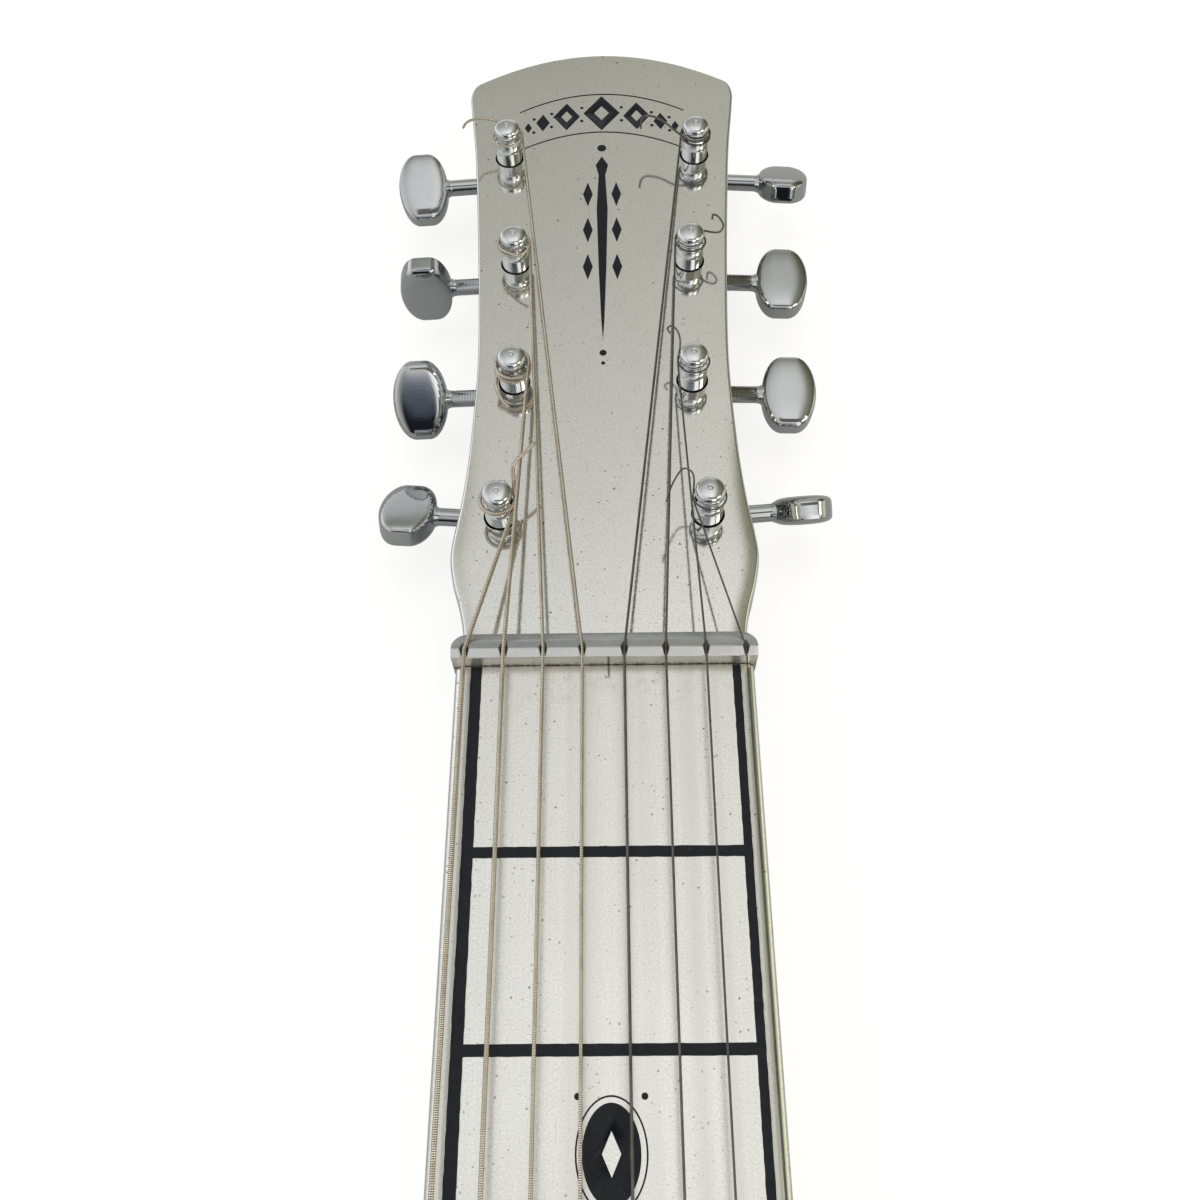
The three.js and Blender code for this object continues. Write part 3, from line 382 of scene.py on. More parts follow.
def casting_finish():
    f = Finish("satin_aluminium", (0.78, 0.78, 0.76), metallic=0.92, roughness=0.14)
    across, along, height = f.axes()
    on_board = f.both(f.levels(along, NUT_Y, NUT_Y + 1, 1, 0), f.levels(height, 39.5, 39.9))
    on_side = f.both(f.levels(height, 38.6, 39.4, 1, 0), f.levels(along, NUT_Y, NUT_Y + 3, 1, 0))
    cloud = f.noise(0.045, 4)
    fine_cloud = f.noise(0.35, 4)
    f.tint(f.levels(cloud, 0.42, 0.68, 0, 0.30), (0.74, 0.74, 0.70))
    f.tint(f.levels(fine_cloud, 0.5, 0.75, 0, 0.22), (0.68, 0.68, 0.65))
    grain = f.noise(2.6, 3)
    f.tint(f.levels(grain, 0.52, 0.72, 0, 0.42), (0.50, 0.50, 0.47))
    f.tint(f.levels(grain, 0.26, 0.46, 0.45, 0), (1.0, 1.0, 0.98))
    f.tint(f.both(f.spots(0.28, 0.085, 0.7), 0.92), (0.06, 0.05, 0.045))
    worn = f.levels(along, NUT_Y + 110, NUT_Y + 35, 0.3, 0.9)
    f.tint(f.both(f.spots(0.62, 0.15, 0.38), worn), (0.10, 0.085, 0.07))
    f.tint(f.both(f.spots(1.3, 0.2, 0.12), worn), (0.12, 0.105, 0.09))
    scratch_lines = f.noise(1.0, 2, f.mapped((2600, 90, 900), turn=(0, 0, 0.5)))
    f.tint(f.levels(scratch_lines, 0.705, 0.735, 0, 0.45), (0.45, 0.45, 0.43))
    rubbed = f.noise(1.0, 3, f.mapped((1500, 22, 1500)))
    f.tint(f.both(on_board, f.levels(rubbed, 0.35, 0.7, 0, 0.22)), (0.64, 0.64, 0.62))
    # Painted shade: soft dark bands along the fretboard that stand in for the shade the strings throw on it
    painted_shade_bands = f.noise(1.0, 1, f.mapped((190, 1.2, 190)))
    f.tint(f.both(on_board, f.levels(painted_shade_bands, 0.44, 0.56, 0, 0.55)), (0.63, 0.63, 0.60))
    side_grain = f.noise(1.0, 4, f.mapped((700, 110, 700)))
    f.tint(f.both(on_side, f.levels(side_grain, 0.42, 0.62, 0, 0.5)), (0.50, 0.49, 0.46))
    by_nut = f.both(on_board, f.levels(along, NUT_Y - 9, NUT_Y + 1, 0, 1))
    f.tint(f.both(by_nut, f.levels(fine_cloud, 0.46, 0.66, 0, 0.55)), (0.60, 0.55, 0.45))
    at_joint = f.both(on_board, f.levels(along, NUT_Y + 0.45, NUT_Y + 0.9))
    f.tint(f.both(at_joint, f.levels(f.noise(1.1, 3), 0.40, 0.62, 0, 0.9)), (0.16, 0.10, 0.055))
    crack = f.both(f.band(across, CRACK_X, CRACK_HALF), f.band(along, NUT_Y + 0.2, 2.1))
    f.tint(f.both(crack, on_board, 0.8), CRACK_STAIN)
    f.roughen(f.levels(cloud, 0.3, 0.7, 0.055, 0.085))
    f.roughen(f.both(on_board, 0.19))
    f.roughen(f.both(on_side, 0.14))
    f.raise_by(grain, 0.004)
    f.raise_by(f.both(on_board, rubbed), 0.002)
    f.raise_by(f.both(on_side, side_grain), 0.10)
    return f.done()


CASTING_FINISH = casting_finish()
print("finish:", CASTING_FINISH.name)

# %% [markdown]
# The nut is brushed upright in front and stained where it meets the board, and its top and back are painted
# darker as painted shade.
# Its places are told apart by where a point lies, as on the casting, so it needs only one material.

# %% The nut's finish
def nut_finish():
    f = Finish("brushed_nut_metal", (0.74, 0.745, 0.75), metallic=0.75, roughness=0.3)
    across, along, height = f.axes()
    brushed = f.noise(1.0, 3, f.mapped((7000, 500, 500)))
    f.tint(f.levels(brushed, 0.42, 0.66, 0, 0.6), (0.66, 0.67, 0.67))
    # Painted shade: the top and the back of the nut are darkened
    on_top = f.levels(along, NUT_FRONT + 1.40, NUT_FRONT + 1.60)
    f.tint(f.both(on_top, 0.95), (0.41, 0.42, 0.43))
    f.tint(f.both(on_top, f.levels(f.noise(0.22, 3), 0.40, 0.66, 0, 0.5)), (0.56, 0.565, 0.57))
    f.tint(f.both(f.spots(0.9, 0.10, 0.16), 0.6), (1.0, 1.0, 0.98))
    f.tint(f.both(f.spots(1.1, 0.12, 0.12), 0.7), (0.16, 0.14, 0.12))
    below = f.levels(height, NUT_BEVEL_LOW + 0.08, NUT_BEVEL_LOW - 0.08)
    in_front = f.both(below, f.levels(along, NUT_FRONT + 1.0, NUT_FRONT + 0.5))
    f.tint(f.both(in_front, 0.75), (0.80, 0.775, 0.70))
    low = f.levels(height, 41.6, 40.2)
    f.tint(f.both(low, f.levels(f.noise(1.1, 3), 0.38, 0.62, 0, 0.85)), (0.17, 0.105, 0.055))
    f.tint(f.both(f.band(across, CRACK_X, CRACK_HALF), in_front, 0.8), CRACK_STAIN)
    f.roughen(f.levels(f.noise(0.4, 3), 0.3, 0.7, 0.26, 0.38))
    f.raise_by(brushed, 0.012)
    return f.done()


NUT_FINISH = nut_finish()
print("finish:", NUT_FINISH.name)

# %% [markdown]
# The smaller pieces have finishes of their own. Chrome is almost a mirror with faint haze, and the steel
# of screws and saddle is duller. Brass and copper take their bump from the way they are turned or wound.
# Each has slight wear, because a perfectly even surface is what gives a render away.

# %% Chrome, steel, brass and copper
def chrome_finish(name, tone):
    """Polished metal with a faint haze, slightly blue. Posts and buttons are one plating, given a lighter and
    a darker tone as painted light and shade.
    """
    f = Finish(name, (tone, tone * 1.027, tone * 1.055), metallic=1.0, roughness=0.05)
    haze = f.noise(0.5, 4)
    f.tint(f.levels(haze, 0.5, 0.75, 0, 0.15), (tone * 0.81, tone * 0.835, tone * 0.865))
    f.roughen(f.levels(haze, 0.35, 0.75, 0.02, 0.07))
    f.raise_by(f.noise(0.12, 2), 0.04)
    f.tint(f.both(f.spots(1.1, 0.07, 0.1), 0.6), (0.15, 0.145, 0.14))
    return f.done()


def steel_finish():
    f = Finish("dull_steel", (0.56, 0.565, 0.57), metallic=1.0, roughness=0.3)
    cloud = f.noise(0.4, 4)
    f.tint(f.levels(cloud, 0.45, 0.7, 0, 0.4), (0.40, 0.39, 0.37))
    f.tint(f.levels(f.noise(2.2, 3), 0.62, 0.72, 0, 0.3), (0.25, 0.20, 0.15))
    f.roughen(f.levels(cloud, 0.3, 0.7, 0.22, 0.42))
    f.raise_by(f.noise(3.0, 2), 0.01)
    return f.done()


def brass_finish():
    f = Finish("turned_brass", (0.69, 0.52, 0.25), metallic=1.0, roughness=0.3)
    f.tint(f.levels(f.noise(0.6, 4), 0.45, 0.7, 0, 0.5), (0.42, 0.29, 0.13))
    f.raise_by(f.noise(1.0, 2, f.mapped((300, 300, 4000))), 0.02)
    return f.done()


def copper_finish():
    f = Finish("wound_copper_wire", (0.42, 0.13, 0.05), metallic=0.6, roughness=0.35)
    turns = f.noise(1.0, 1, f.mapped((60, 60, 9000)))
    f.tint(f.levels(turns, 0.4, 0.6, 0, 0.6), (0.20, 0.05, 0.02))
    f.raise_by(turns, 0.05)
    return f.done()


# Painted light and shade: one plating in two tones, lighter on the posts than on the keys and the other
# chrome
CHROME, POST_CHROME_PAINTED_LIGHTER = chrome_finish("polished_chrome", 0.48), chrome_finish("post_chrome_painted_lighter", 0.66)
STEEL, BRASS, COPPER = steel_finish(), brass_finish(), copper_finish()
print("metals:", [finish.name for finish in (CHROME, POST_CHROME_PAINTED_LIGHTER, STEEL, BRASS, COPPER)])

# %% [markdown]
# Not every piece is bare metal. The lines are black enamel, the knobs and the bobbin are moulded plastic,
# the cover is rubbed sheet, and the capacitor is paper in wax. What shows of these is mostly their gloss,
# so their colours stay plain, with faint clouds.

# %% Enamel, plastic, sheet metal and waxed paper
def enamel_finish():
    f = Finish("black_enamel", (0.007, 0.009, 0.015), roughness=0.35)
    f.shader.inputs["Specular IOR Level"].default_value = 0.25
    f.tint(f.levels(f.noise(0.5, 4), 0.45, 0.75, 0, 0.5), (0.015, 0.019, 0.028))
    f.tint(f.both(f.spots(1.6, 0.16, 0.12), 0.5), (0.25, 0.25, 0.24))
    f.roughen(f.levels(f.noise(0.9, 3), 0.3, 0.7, 0.3, 0.5))
    f.raise_by(f.noise(1.4, 3), 0.03)
    return f.done()


def plastic_finish():
    f = Finish("black_moulded_plastic", (0.016, 0.015, 0.015), roughness=0.28)
    f.tint(f.levels(f.noise(0.8, 4), 0.45, 0.75, 0, 0.5), (0.035, 0.031, 0.028))
    f.roughen(f.levels(f.noise(0.5, 3), 0.3, 0.7, 0.2, 0.42))
    f.raise_by(f.noise(2.5, 3), 0.012)
    return f.done()


def sheet_finish():
    f = Finish("rubbed_sheet", (0.66, 0.66, 0.65), metallic=0.9, roughness=0.4)
    rubbed = f.noise(1.0, 3, f.mapped((1800, 30, 400)))
    f.tint(f.levels(rubbed, 0.35, 0.7, 0, 0.4), (0.50, 0.50, 0.48))
    f.tint(f.levels(f.noise(0.03, 4), 0.5, 0.7, 0, 0.4), (0.55, 0.53, 0.49))
    f.raise_by(rubbed, 0.01)
    return f.done()


def wax_finish():
    f = Finish("waxed_paper", (0.22, 0.10, 0.045), roughness=0.5)
    f.tint(f.levels(f.noise(0.5, 4), 0.4, 0.7, 0, 0.6), (0.33, 0.19, 0.09))
    f.raise_by(f.noise(1.2, 3), 0.05)
    return f.done()


ENAMEL, PLASTIC, SHEET, WAX = enamel_finish(), plastic_finish(), sheet_finish(), wax_finish()
print("other finishes:", [finish.name for finish in (ENAMEL, PLASTIC, SHEET, WAX)])

# %% [markdown]
# Pieces of the solid model that nothing replaces would stay in sight. So every one of them first gets the
# finish that belongs to its material slot.

# %% Paint the solid model by its material slots
FINISH_OF_SLOT = {
    "casting": CASTING_FINISH, "nut_metal": NUT_FINISH, "chrome": CHROME, "steel": STEEL,
    "plain_wire": STEEL, "wound_wire": STEEL, "black_plastic": PLASTIC, "brass": BRASS,
    "copper": COPPER, "cover": SHEET, "capacitor": WAX,
}


def paint(obj, material):
    obj.data.materials.clear()
    obj.data.materials.append(material)
    return obj


for part in frame["record"]["subparts"]:
    paint(frame["nodes"][part["node"]], FINISH_OF_SLOT[part["material_slot"]])
print("solid pieces painted:", len(frame["nodes"]))

# %% [markdown]
# The pieces are modelled as by hand: a primitive is set at its place, its faces or edges are picked by
# where they lie, and an operator shapes them. A few helpers keep that short. Everything is deselected
# first, because an operator acts on all that is selected.

# %% Opening a mesh, picking from it and closing it
def begin(name):
    """Names the primitive that was just added and opens it in edit mode."""
    obj = bpy.context.object
    obj.name = obj.data.name = name
    bpy.ops.object.mode_set(mode="EDIT")
    bpy.ops.mesh.select_mode(type="VERT")
    return obj


def select_only(*objects):
    bpy.ops.object.select_all(action="DESELECT")
    for obj in objects:
        obj.select_set(True)
    bpy.context.view_layer.objects.active = objects[0]


def reopen(obj):
    select_only(obj)
    bpy.ops.object.mode_set(mode="EDIT")


def pick(obj, kind, test):
    """Selects the vertices, edges or faces that pass a test, and nothing else."""
    bpy.ops.mesh.select_mode(type=kind)
    mesh = bmesh.from_edit_mesh(obj.data)
    for group in (mesh.verts, mesh.edges, mesh.faces):
        for element in group:
            element.select = False
    chosen = {"VERT": mesh.verts, "EDGE": mesh.edges, "FACE": mesh.faces}[kind]
    for element in chosen:
        if test(element):
            element.select = True
    mesh.select_flush_mode()
    bmesh.update_edit_mesh(obj.data)


def close(obj, smooth=35):
    """Leaves edit mode with doubles merged and normals outward, and shades the piece."""
    bpy.ops.mesh.select_all(action="SELECT")
    bpy.ops.mesh.remove_doubles(threshold=1e-6)
    bpy.ops.mesh.normals_make_consistent(inside=False)
    bpy.ops.object.mode_set(mode="OBJECT")
    return shade(obj, smooth)


def shade(obj, smooth=35):
    select_only(obj)
    bpy.ops.object.shade_smooth_by_angle(angle=math.radians(smooth))
    return obj


print("a mesh can be opened, picked from and closed")

# %% Plates and extruded outlines
def block(name, x0, x1, y0, y1, z0, z1):
    """A box between planes in millimetres, open in edit mode."""
    bpy.ops.object.select_all(action="DESELECT")
    bpy.ops.mesh.primitive_cube_add(size=1, location=(0, 0, 0))
    obj = begin(name)
    bpy.ops.transform.resize(value=mm(x1 - x0, y1 - y0, z1 - z0))
    bpy.ops.transform.translate(value=mm((x0 + x1) / 2, (y0 + y1) / 2, (z0 + z1) / 2))
    return obj


def upright_edges(obj):
    pick(obj, "EDGE", lambda e: abs((e.verts[0].co - e.verts[1].co).normalized().z) > 0.9)


def rounded_block(name, x0, x1, y0, y1, z0, z1, corner, edge=0.0, steps=6):
    """A plate with round corners and, when asked, an eased top edge."""
    obj = block(name, x0, x1, y0, y1, z0, z1)
    upright_edges(obj)
    bpy.ops.mesh.bevel(offset=corner * MM, segments=steps)
    if edge:
        top = z1 * MM - 1e-6
        pick(obj, "EDGE", lambda e: all(v.co.z > top for v in e.verts))
        bpy.ops.mesh.bevel(offset=edge * MM, segments=3)
    return obj


def outline_piece(name, points):
    """A flat closed outline in edit mode, with its one face, from points in millimetres."""
    bpy.ops.object.select_all(action="DESELECT")
    bpy.ops.mesh.primitive_circle_add(vertices=len(points), radius=1, fill_type="NGON")
    obj = begin(name)
    mesh = bmesh.from_edit_mesh(obj.data)
    for vertex, point in zip(mesh.verts, points):
        vertex.co = mm(*point)
    bmesh.update_edit_mesh(obj.data)
    return obj


def sharp_block(name, *planes):
    """A box between planes that is left as it is, for cutting or welding."""
    obj = block(name, *planes)
    bpy.ops.object.mode_set(mode="OBJECT")
    return obj


def extrude_to(*shift):
    bpy.ops.mesh.extrude_region_move(TRANSFORM_OT_translate={"value": mm(*shift)})


def lofted(name, rings):
    """A closed skin over rings of points, each ring extruded from the one before."""
    obj = outline_piece(name, rings[0])
    for ring in rings[1:]:
        bpy.ops.mesh.extrude_region_move()
        mesh = bmesh.from_edit_mesh(obj.data)
        fresh = [v for v in mesh.verts if v.select]
        for vertex, point in zip(fresh, ring):
            vertex.co = mm(*point)
        bmesh.update_edit_mesh(obj.data)
    return obj


print("plates and outlines ready")

# %% Turned pieces and rods
def turned(name, profile, steps, at=(0, 0), smooth=35):
    """Spins a profile of [radius, height] about an upright axis, as on a lathe."""
    bpy.ops.object.select_all(action="DESELECT")
    bpy.ops.mesh.primitive_plane_add(size=MM)
    obj = begin(name)
    bpy.ops.mesh.merge(type="CENTER")
    radius, height = profile[0]
    bpy.ops.transform.translate(value=mm(radius, 0, height))
    for next_radius, next_height in profile[1:]:
        extrude_to(next_radius - radius, 0, next_height - height)
        radius, height = next_radius, next_height
    bpy.ops.mesh.select_all(action="SELECT")
    bpy.ops.mesh.spin(steps=steps, angle=math.tau, center=(0, 0, 0), axis=(0, 0, 1))
    bpy.ops.mesh.select_all(action="SELECT")
    bpy.ops.mesh.remove_doubles(threshold=1e-7)
    bpy.ops.transform.translate(value=mm(at[0], at[1], 0))
    return close(obj, smooth)


def ridges(start, end, step, outer, inner, rise):
    """Part of a profile for a thread or ribs: from outer to inner radius within rise, again at each step."""
    profile, along = [], start
    while along < end:
        profile += [(outer, along), (inner, along + rise)]
        along += step
    return profile


def moved(obj, x, y, z):
    obj.data.transform(Matrix.Translation(mm(x, y, z)))
    return obj


def swung(obj, angle, axis):
    """Turns a piece about an axis through the origin, where it was made."""
    obj.data.transform(Matrix.Rotation(angle, 4, axis))
    return obj


def rod(name, radius, start, end, sides=24):
    """A plain cylinder between two points in millimetres, used to bore holes."""
    start, end = mm(*start), mm(*end)
    turn = (end - start).to_track_quat("Z", "Y").to_matrix().to_4x4()
    bpy.ops.object.select_all(action="DESELECT")
    bpy.ops.mesh.primitive_cylinder_add(vertices=sides, radius=radius * MM, depth=(end - start).length)
    obj = bpy.context.object
    obj.name = name
    obj.data.transform(Matrix.Translation((start + end) / 2) @ turn)
    return obj


print("turning ready")

# %% Modifiers, joining and cutting
def apply_modifier(obj, kind, **settings):
    """Adds a modifier and applies it at once, so no piece keeps one."""
    modifier = obj.modifiers.new(kind.lower(), kind)
    for key, value in settings.items():
        setattr(modifier, key, value)
    select_only(obj)
    bpy.ops.object.modifier_apply(modifier=modifier.name)


def joined(pieces, name):
    select_only(*pieces)
    if len(pieces) > 1:
        bpy.ops.object.join()
    pieces[0].name = pieces[0].data.name = name
    return pieces[0]


def carve(obj, tools, operation="DIFFERENCE"):
    """Cuts the tools out of a piece, or does another boolean with them, and removes the tools."""
    tool = joined(tools, "tool")
    apply_modifier(obj, "BOOLEAN", object=tool, operation=operation, solver="EXACT")
    bpy.data.objects.remove(tool)
    return obj


def weld(obj, *others):
    """Joins closed pieces into one skin, with no faces left inside."""
    return carve(obj, others, "UNION")


def eased(obj, width, segments=2):
    """Rounds the edges sharper than 30 degrees a little, as tumbling or polishing does."""
    apply_modifier(obj, "BEVEL", width=width * MM, segments=segments, limit_method="ANGLE",
                   angle_limit=math.radians(30), use_clamp_overlap=True)
    return shade(obj)


print("cutting and easing ready")

# %% Finish, body and solids of a piece
def dress(obj, material, body="guitar", nodes=()):
    """Gives a finished piece its material, its body and the solids that it stands for."""
    paint(obj, material)
    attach(obj, body)
    if nodes:
        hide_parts(*nodes)
    return obj


def faces_of(*objects):
    return sum(len(obj.data.polygons) for obj in objects)


print("pieces can be dressed")

# %% [markdown]
# The casting is the guitar's one big piece. It could be carved from a block, but it is easier to see as
# three simple forms that are welded: a plate for the head, a skin over neck sections, and a round body
# spun from its profile. The pockets and bores are then cut, in the order a foundry and a shop would.

# %% Curves through a few points
def smooth_through(points, steps):
    """A curve through the given points, with steps between each two of them."""
    points = [Vector(p) for p in points]
    padded = [points[0], *points, points[-1]]
    curve = []
    for a, b, c, d in zip(padded, padded[1:], padded[2:], padded[3:]):
        for i in range(steps):
            t = i / steps
            low, high = (c - a) / 2, (d - b) / 2
            rise = 3 * (c - b) - 2 * low - high
            fall = 2 * (b - c) + low + high
            curve.append(b + low * t + rise * t * t + fall * t ** 3)
    return [*curve, points[-1]]


def bent(start, pull, end, steps):
    """A quadratic curve from start to end, pulled towards a third point."""
    start, pull, end = Vector(start), Vector(pull), Vector(end)
    shares = [i / steps for i in range(1, steps + 1)]
    return [start * (1 - t) ** 2 + pull * 2 * t * (1 - t) + end * t * t for t in shares]


print("points of a short curve:", len(smooth_through([(0, 0), (1, 2), (3, 3)], 4)))

# %% The head's form
HEAD_LENGTH = 177.6
HEAD_THICK = 10.5
# The head's right edge, from the nut up: distance from the nut and half width
HEAD_SIDE = [
    (5, 27.4), (8, 27.6), (13, 28.0), (18, 29.0), (23, 30.4), (29, 31.3), (34.5, 30.9), (43.5, 29.6),
    (58, 28.4), (80, 27.8), (108.5, 28.9), (140, 30.8), (156, 32.4), (162, 33.0),
]
HEAD_CORNER = (30.5, 168)
# How the head's rim rolls off: inwards and up. Near the nut it does so fully, and from CROWN_LOW to
# CROWN_HIGH above the nut it flattens, until a share of CROWN_LEFT is left
HEAD_CROWN = ((0, 0), (0.8, 0.25), (1.6, 0.44), (2.5, 0.58), (3.5, 0.67), (4.6, 0.71), (6, 0.72))
CROWN_LOW, CROWN_HIGH, CROWN_LEFT = 36, 66, 0.16


def head_outline():
    right = smooth_through([(x, NUT_Y + y) for y, x in HEAD_SIDE], 5)
    corner_x, corner_y = HEAD_CORNER[0], NUT_Y + HEAD_CORNER[1]
    arch_y = NUT_Y + 2 * HEAD_LENGTH - HEAD_CORNER[1]
    right += bent(right[-1], (right[-1].x, corner_y - 1.2), (corner_x, corner_y), 6)
    right += bent(right[-1], (0, arch_y), (-corner_x, corner_y), 48)[:24]
    left = [Vector((-p.x, p.y)) for p in reversed(right[:-1])]
    return [(p.x, p.y) for p in right + left]


def head_form():
    """A plate whose rim is rolled off widely at the low shoulders and only a little higher up."""
    low, rim = HEAD_Z - HEAD_THICK, HEAD_Z - HEAD_CROWN[-1][1]
    obj = outline_piece("head_form", [(x, y, low) for x, y in head_outline()])
    extrude_to(0, 0, rim - low)
    half, length, end = 30, HEAD_LENGTH - 5, NUT_Y + 5
    for (was_in, was_up), (inward, up) in zip(HEAD_CROWN, HEAD_CROWN[1:]):
        extrude_to(0, 0, up - was_up)
        shrink = ((half - inward) / (half - was_in), (length - inward) / (length - was_in), 1)
        bpy.ops.transform.resize(value=shrink, center_override=mm(0, end, 0))

    def on_rim(edge):
        level = all(min(abs(v.co.z / MM - low), abs(v.co.z / MM - rim)) < 0.001 for v in edge.verts)
        flat = abs(edge.verts[0].co.z - edge.verts[1].co.z) < 1e-6
        return level and flat and max(v.co.y for v in edge.verts) > (end + 0.01) * MM

    pick(obj, "EDGE", on_rim)
    bpy.ops.mesh.bevel(offset=0.7 * MM, segments=4)
    mesh = bmesh.from_edit_mesh(obj.data)
    for vertex in mesh.verts:
        up = (vertex.co.y / MM - NUT_Y - CROWN_LOW) / (CROWN_HIGH - CROWN_LOW)
        saved = (1 - CROWN_LEFT) * min(1, max(0, up))
        height = vertex.co.z / MM
        if height > low + 2:
            vertex.co.z += saved * min(HEAD_Z - height, HEAD_Z - rim) * MM
    bmesh.update_edit_mesh(obj.data)
    return close(obj)


head = head_form()
print("head's form, faces:", faces_of(head))

# %% The neck's form
BOARD_LENGTH = 463
NECK_WIDTHS = (55.6, 60.3)
NECK_FLAT = 9
EDGE_WIDE, EDGE_TALL, EDGE_STEPS = 2.5, 1.5, 10


def neck_half(y):
    share = (NUT_Y - y) / BOARD_LENGTH
    return (NECK_WIDTHS[0] + (NECK_WIDTHS[1] - NECK_WIDTHS[0]) * share) / 2


def neck_section(y, bottom):
    half, height = neck_half(y), BOARD_Z - bottom
    right = smooth_through([
        (NECK_FLAT, 0), (half - 13, 0.07), (half - 6, 0.27), (half - 1.2, 0.56), (half, 0.8),
    ], 5)
    right = [(x, bottom + t * height) for x, t in right]
    for i in range(EDGE_STEPS + 1):
        angle = math.pi / 2 * i / EDGE_STEPS
        right.append((half - EDGE_WIDE * (1 - math.cos(angle)),
                      BOARD_Z - EDGE_TALL * (1 - math.sin(angle)) * min(1, height / 18)))
    left = [(-x, z) for x, z in reversed(right)]
    return [(x, y, z) for x, z in right + left]


def neck_form():
    heel = smooth_through([(14, 0), (7, 5), (0, 15), (-5, 21.5), (-9, 21.5)], 4)
    rings = [neck_section(NUT_Y - BOARD_LENGTH, 0)]
    rings += [neck_section(NUT_Y - 300, 0), neck_section(NUT_Y - 150, 0)]
    rings += [neck_section(NUT_Y - back, max(bottom, 0)) for back, bottom in heel]
    return close(lofted("neck_form", rings))


neck = neck_form()
print("neck's form, faces:", faces_of(neck))

# %% The round body's form
def round_body_form():
    wall = [(0, 0), (113.5, 0), (114.5, 0.4), (115, 1.5), (115, 26)]
    shoulder = smooth_through([(115, 26), (113.8, 30.5), (110.5, 34), (106, 35.4)], 4)[1:]
    bead = [(104.5, 35.5), (103, 35.5), (102.3, 35.7), (101.5, 36.2), (100.4, 36.55), (98.6, 36.6),
            (97, 36.5), (96, 36.2), (95.2, 36), (0, 36)]
    profile = wall + [tuple(p) for p in shoulder] + bead
    return turned("round_body_form", profile, 144, at=(0, PAN_Y))


round_body = round_body_form()
print("round body's form, faces:", faces_of(round_body))

# %% Where the pockets and bores go
POST_ROWS = [(141.1, 22.5, -4.5), (107.0, 20.0, -3), (72.7, 19.4, -2), (38.6, 21.3, 4.5)]
PLATE_SCREWS = [(-34, 8), (34, 8), (-34, -16), (34, -16)]
CONTROLS = {"volume": (76, -34), "tone": (76, 18)}
COVER_SCREW_ANGLES = (90, 210, 330)
COVER_SCREW_CIRCLE = 102
PICKUP_Y = BRIDGE_Y + 46
PICKUP_SCREWS_X = (-42, 42)
PICKUP_HOLE = (72, 24)
JACK_X, JACK_Z = 52, 18
JACK_BOSS, JACK_RECESS, JACK_BORE = 12, 10, 4.9
POST_BORE, POT_BORE, COVER_SCREW_BORE, PLATE_SCREW_BORE, PICKUP_SCREW_BORE = 3.5, 4.7, 1.8, 1.7, 1.5
UNDER_TOP = 30
ABOVE_ALL = 60


def post_places():
    """Each tuner's name, side, row number, place and the angle of its key."""
    for number, (y, x, fan) in enumerate(POST_ROWS, 1):
        for side, hand in ((-1, "left"), (1, "right")):
            yield f"{hand}_{number}", side, number, side * x, NUT_Y + y, side * math.radians(fan)


def cover_screw_places():
    for degrees in COVER_SCREW_ANGLES:
        angle = math.radians(degrees)
        yield COVER_SCREW_CIRCLE * math.cos(angle), PAN_Y + COVER_SCREW_CIRCLE * math.sin(angle)


def upright_bore(radius, x, y, low, high=ABOVE_ALL, sides=32):
    return rod("bore", radius, (x, y, low), (x, y, high), sides)


def jack_rod(name, radius, outer, inner, sides):
    """A rod on the jack's line, between two distances from the round body's middle."""
    return rod(name, radius, (JACK_X, PAN_Y - outer, JACK_Z), (JACK_X, PAN_Y - inner, JACK_Z), sides)


print("bores for posts:", [name for name, *_ in post_places()])

# %% Weld the forms, then cut the pockets and bores
def build_casting():
    casting = weld(round_body, neck)
    hollow = turned("hollow", [(0, -1), (111.3, -1), (111.3, 4.5), (108.5, 4.5), (108.5, 26),
                               (107, 29.6), (103.5, 32.2), (101, 33), (0, 33)], 96, at=(0, PAN_Y))
    carve(casting, [hollow])
    core = [(12, 6), (18.5, 15), (18.5, 35), (-18.5, 35), (-18.5, 15), (-12, 6)]
    neck_core = close(lofted("neck_core", [[(x, y, z) for x, z in core] for y in (NUT_Y - 45, PAN_Y)]))
    carve(casting, [neck_core])
    weld(casting, head)
    for x, y in cover_screw_places():
        weld(casting, upright_bore(6, x, y, 4.5, 35))
    weld(casting, jack_rod("jack_boss", JACK_BOSS, 103, 88.5, 40))
    hole_x, hole_y = (side / 2 for side in PICKUP_HOLE)
    pockets = [
        sharp_block("nut_seat", -60, 60, NUT_Y + BOARD_END, NUT_Y + 15, 36, ABOVE_ALL),
        sharp_block("pickup_hole", -hole_x, hole_x, PICKUP_Y - hole_y, PICKUP_Y + hole_y, 25, ABOVE_ALL),
    ]
    pockets += [upright_bore(POST_BORE, x, y, 10) for _, _, _, x, y, _ in post_places()]
    pockets += [upright_bore(POT_BORE, x, PAN_Y + y, UNDER_TOP) for x, y in CONTROLS.values()]
    pockets += [upright_bore(COVER_SCREW_BORE, x, y, -5, 12, 20) for x, y in cover_screw_places()]
    pockets += [upright_bore(PLATE_SCREW_BORE, x, BRIDGE_Y + y, UNDER_TOP, sides=20) for x, y in PLATE_SCREWS]
    pockets += [upright_bore(PICKUP_SCREW_BORE, x, PICKUP_Y, UNDER_TOP, sides=20) for x in PICKUP_SCREWS_X]
    carve(casting, pockets)
    carve(casting, [jack_rod("jack_way", JACK_BORE, 110, 80, 32)])
    carve(casting, [jack_rod("jack_recess", JACK_RECESS, 125, 97, 48)])
    casting.name = casting.data.name = "casting"
    return shade(casting, 40)


casting = dress(build_casting(), CASTING_FINISH, nodes=["body_casting"])
print("casting faces:", faces_of(casting))

# %% [markdown]
# The nut is a small bar of the same metal with a V notch for each string. Its bevel and ridge catch
# the light, so it is extruded from its side profile, its back corners are rounded, the notches are cut
# and only then are all edges eased: easing earlier would leave the notches razor sharp.

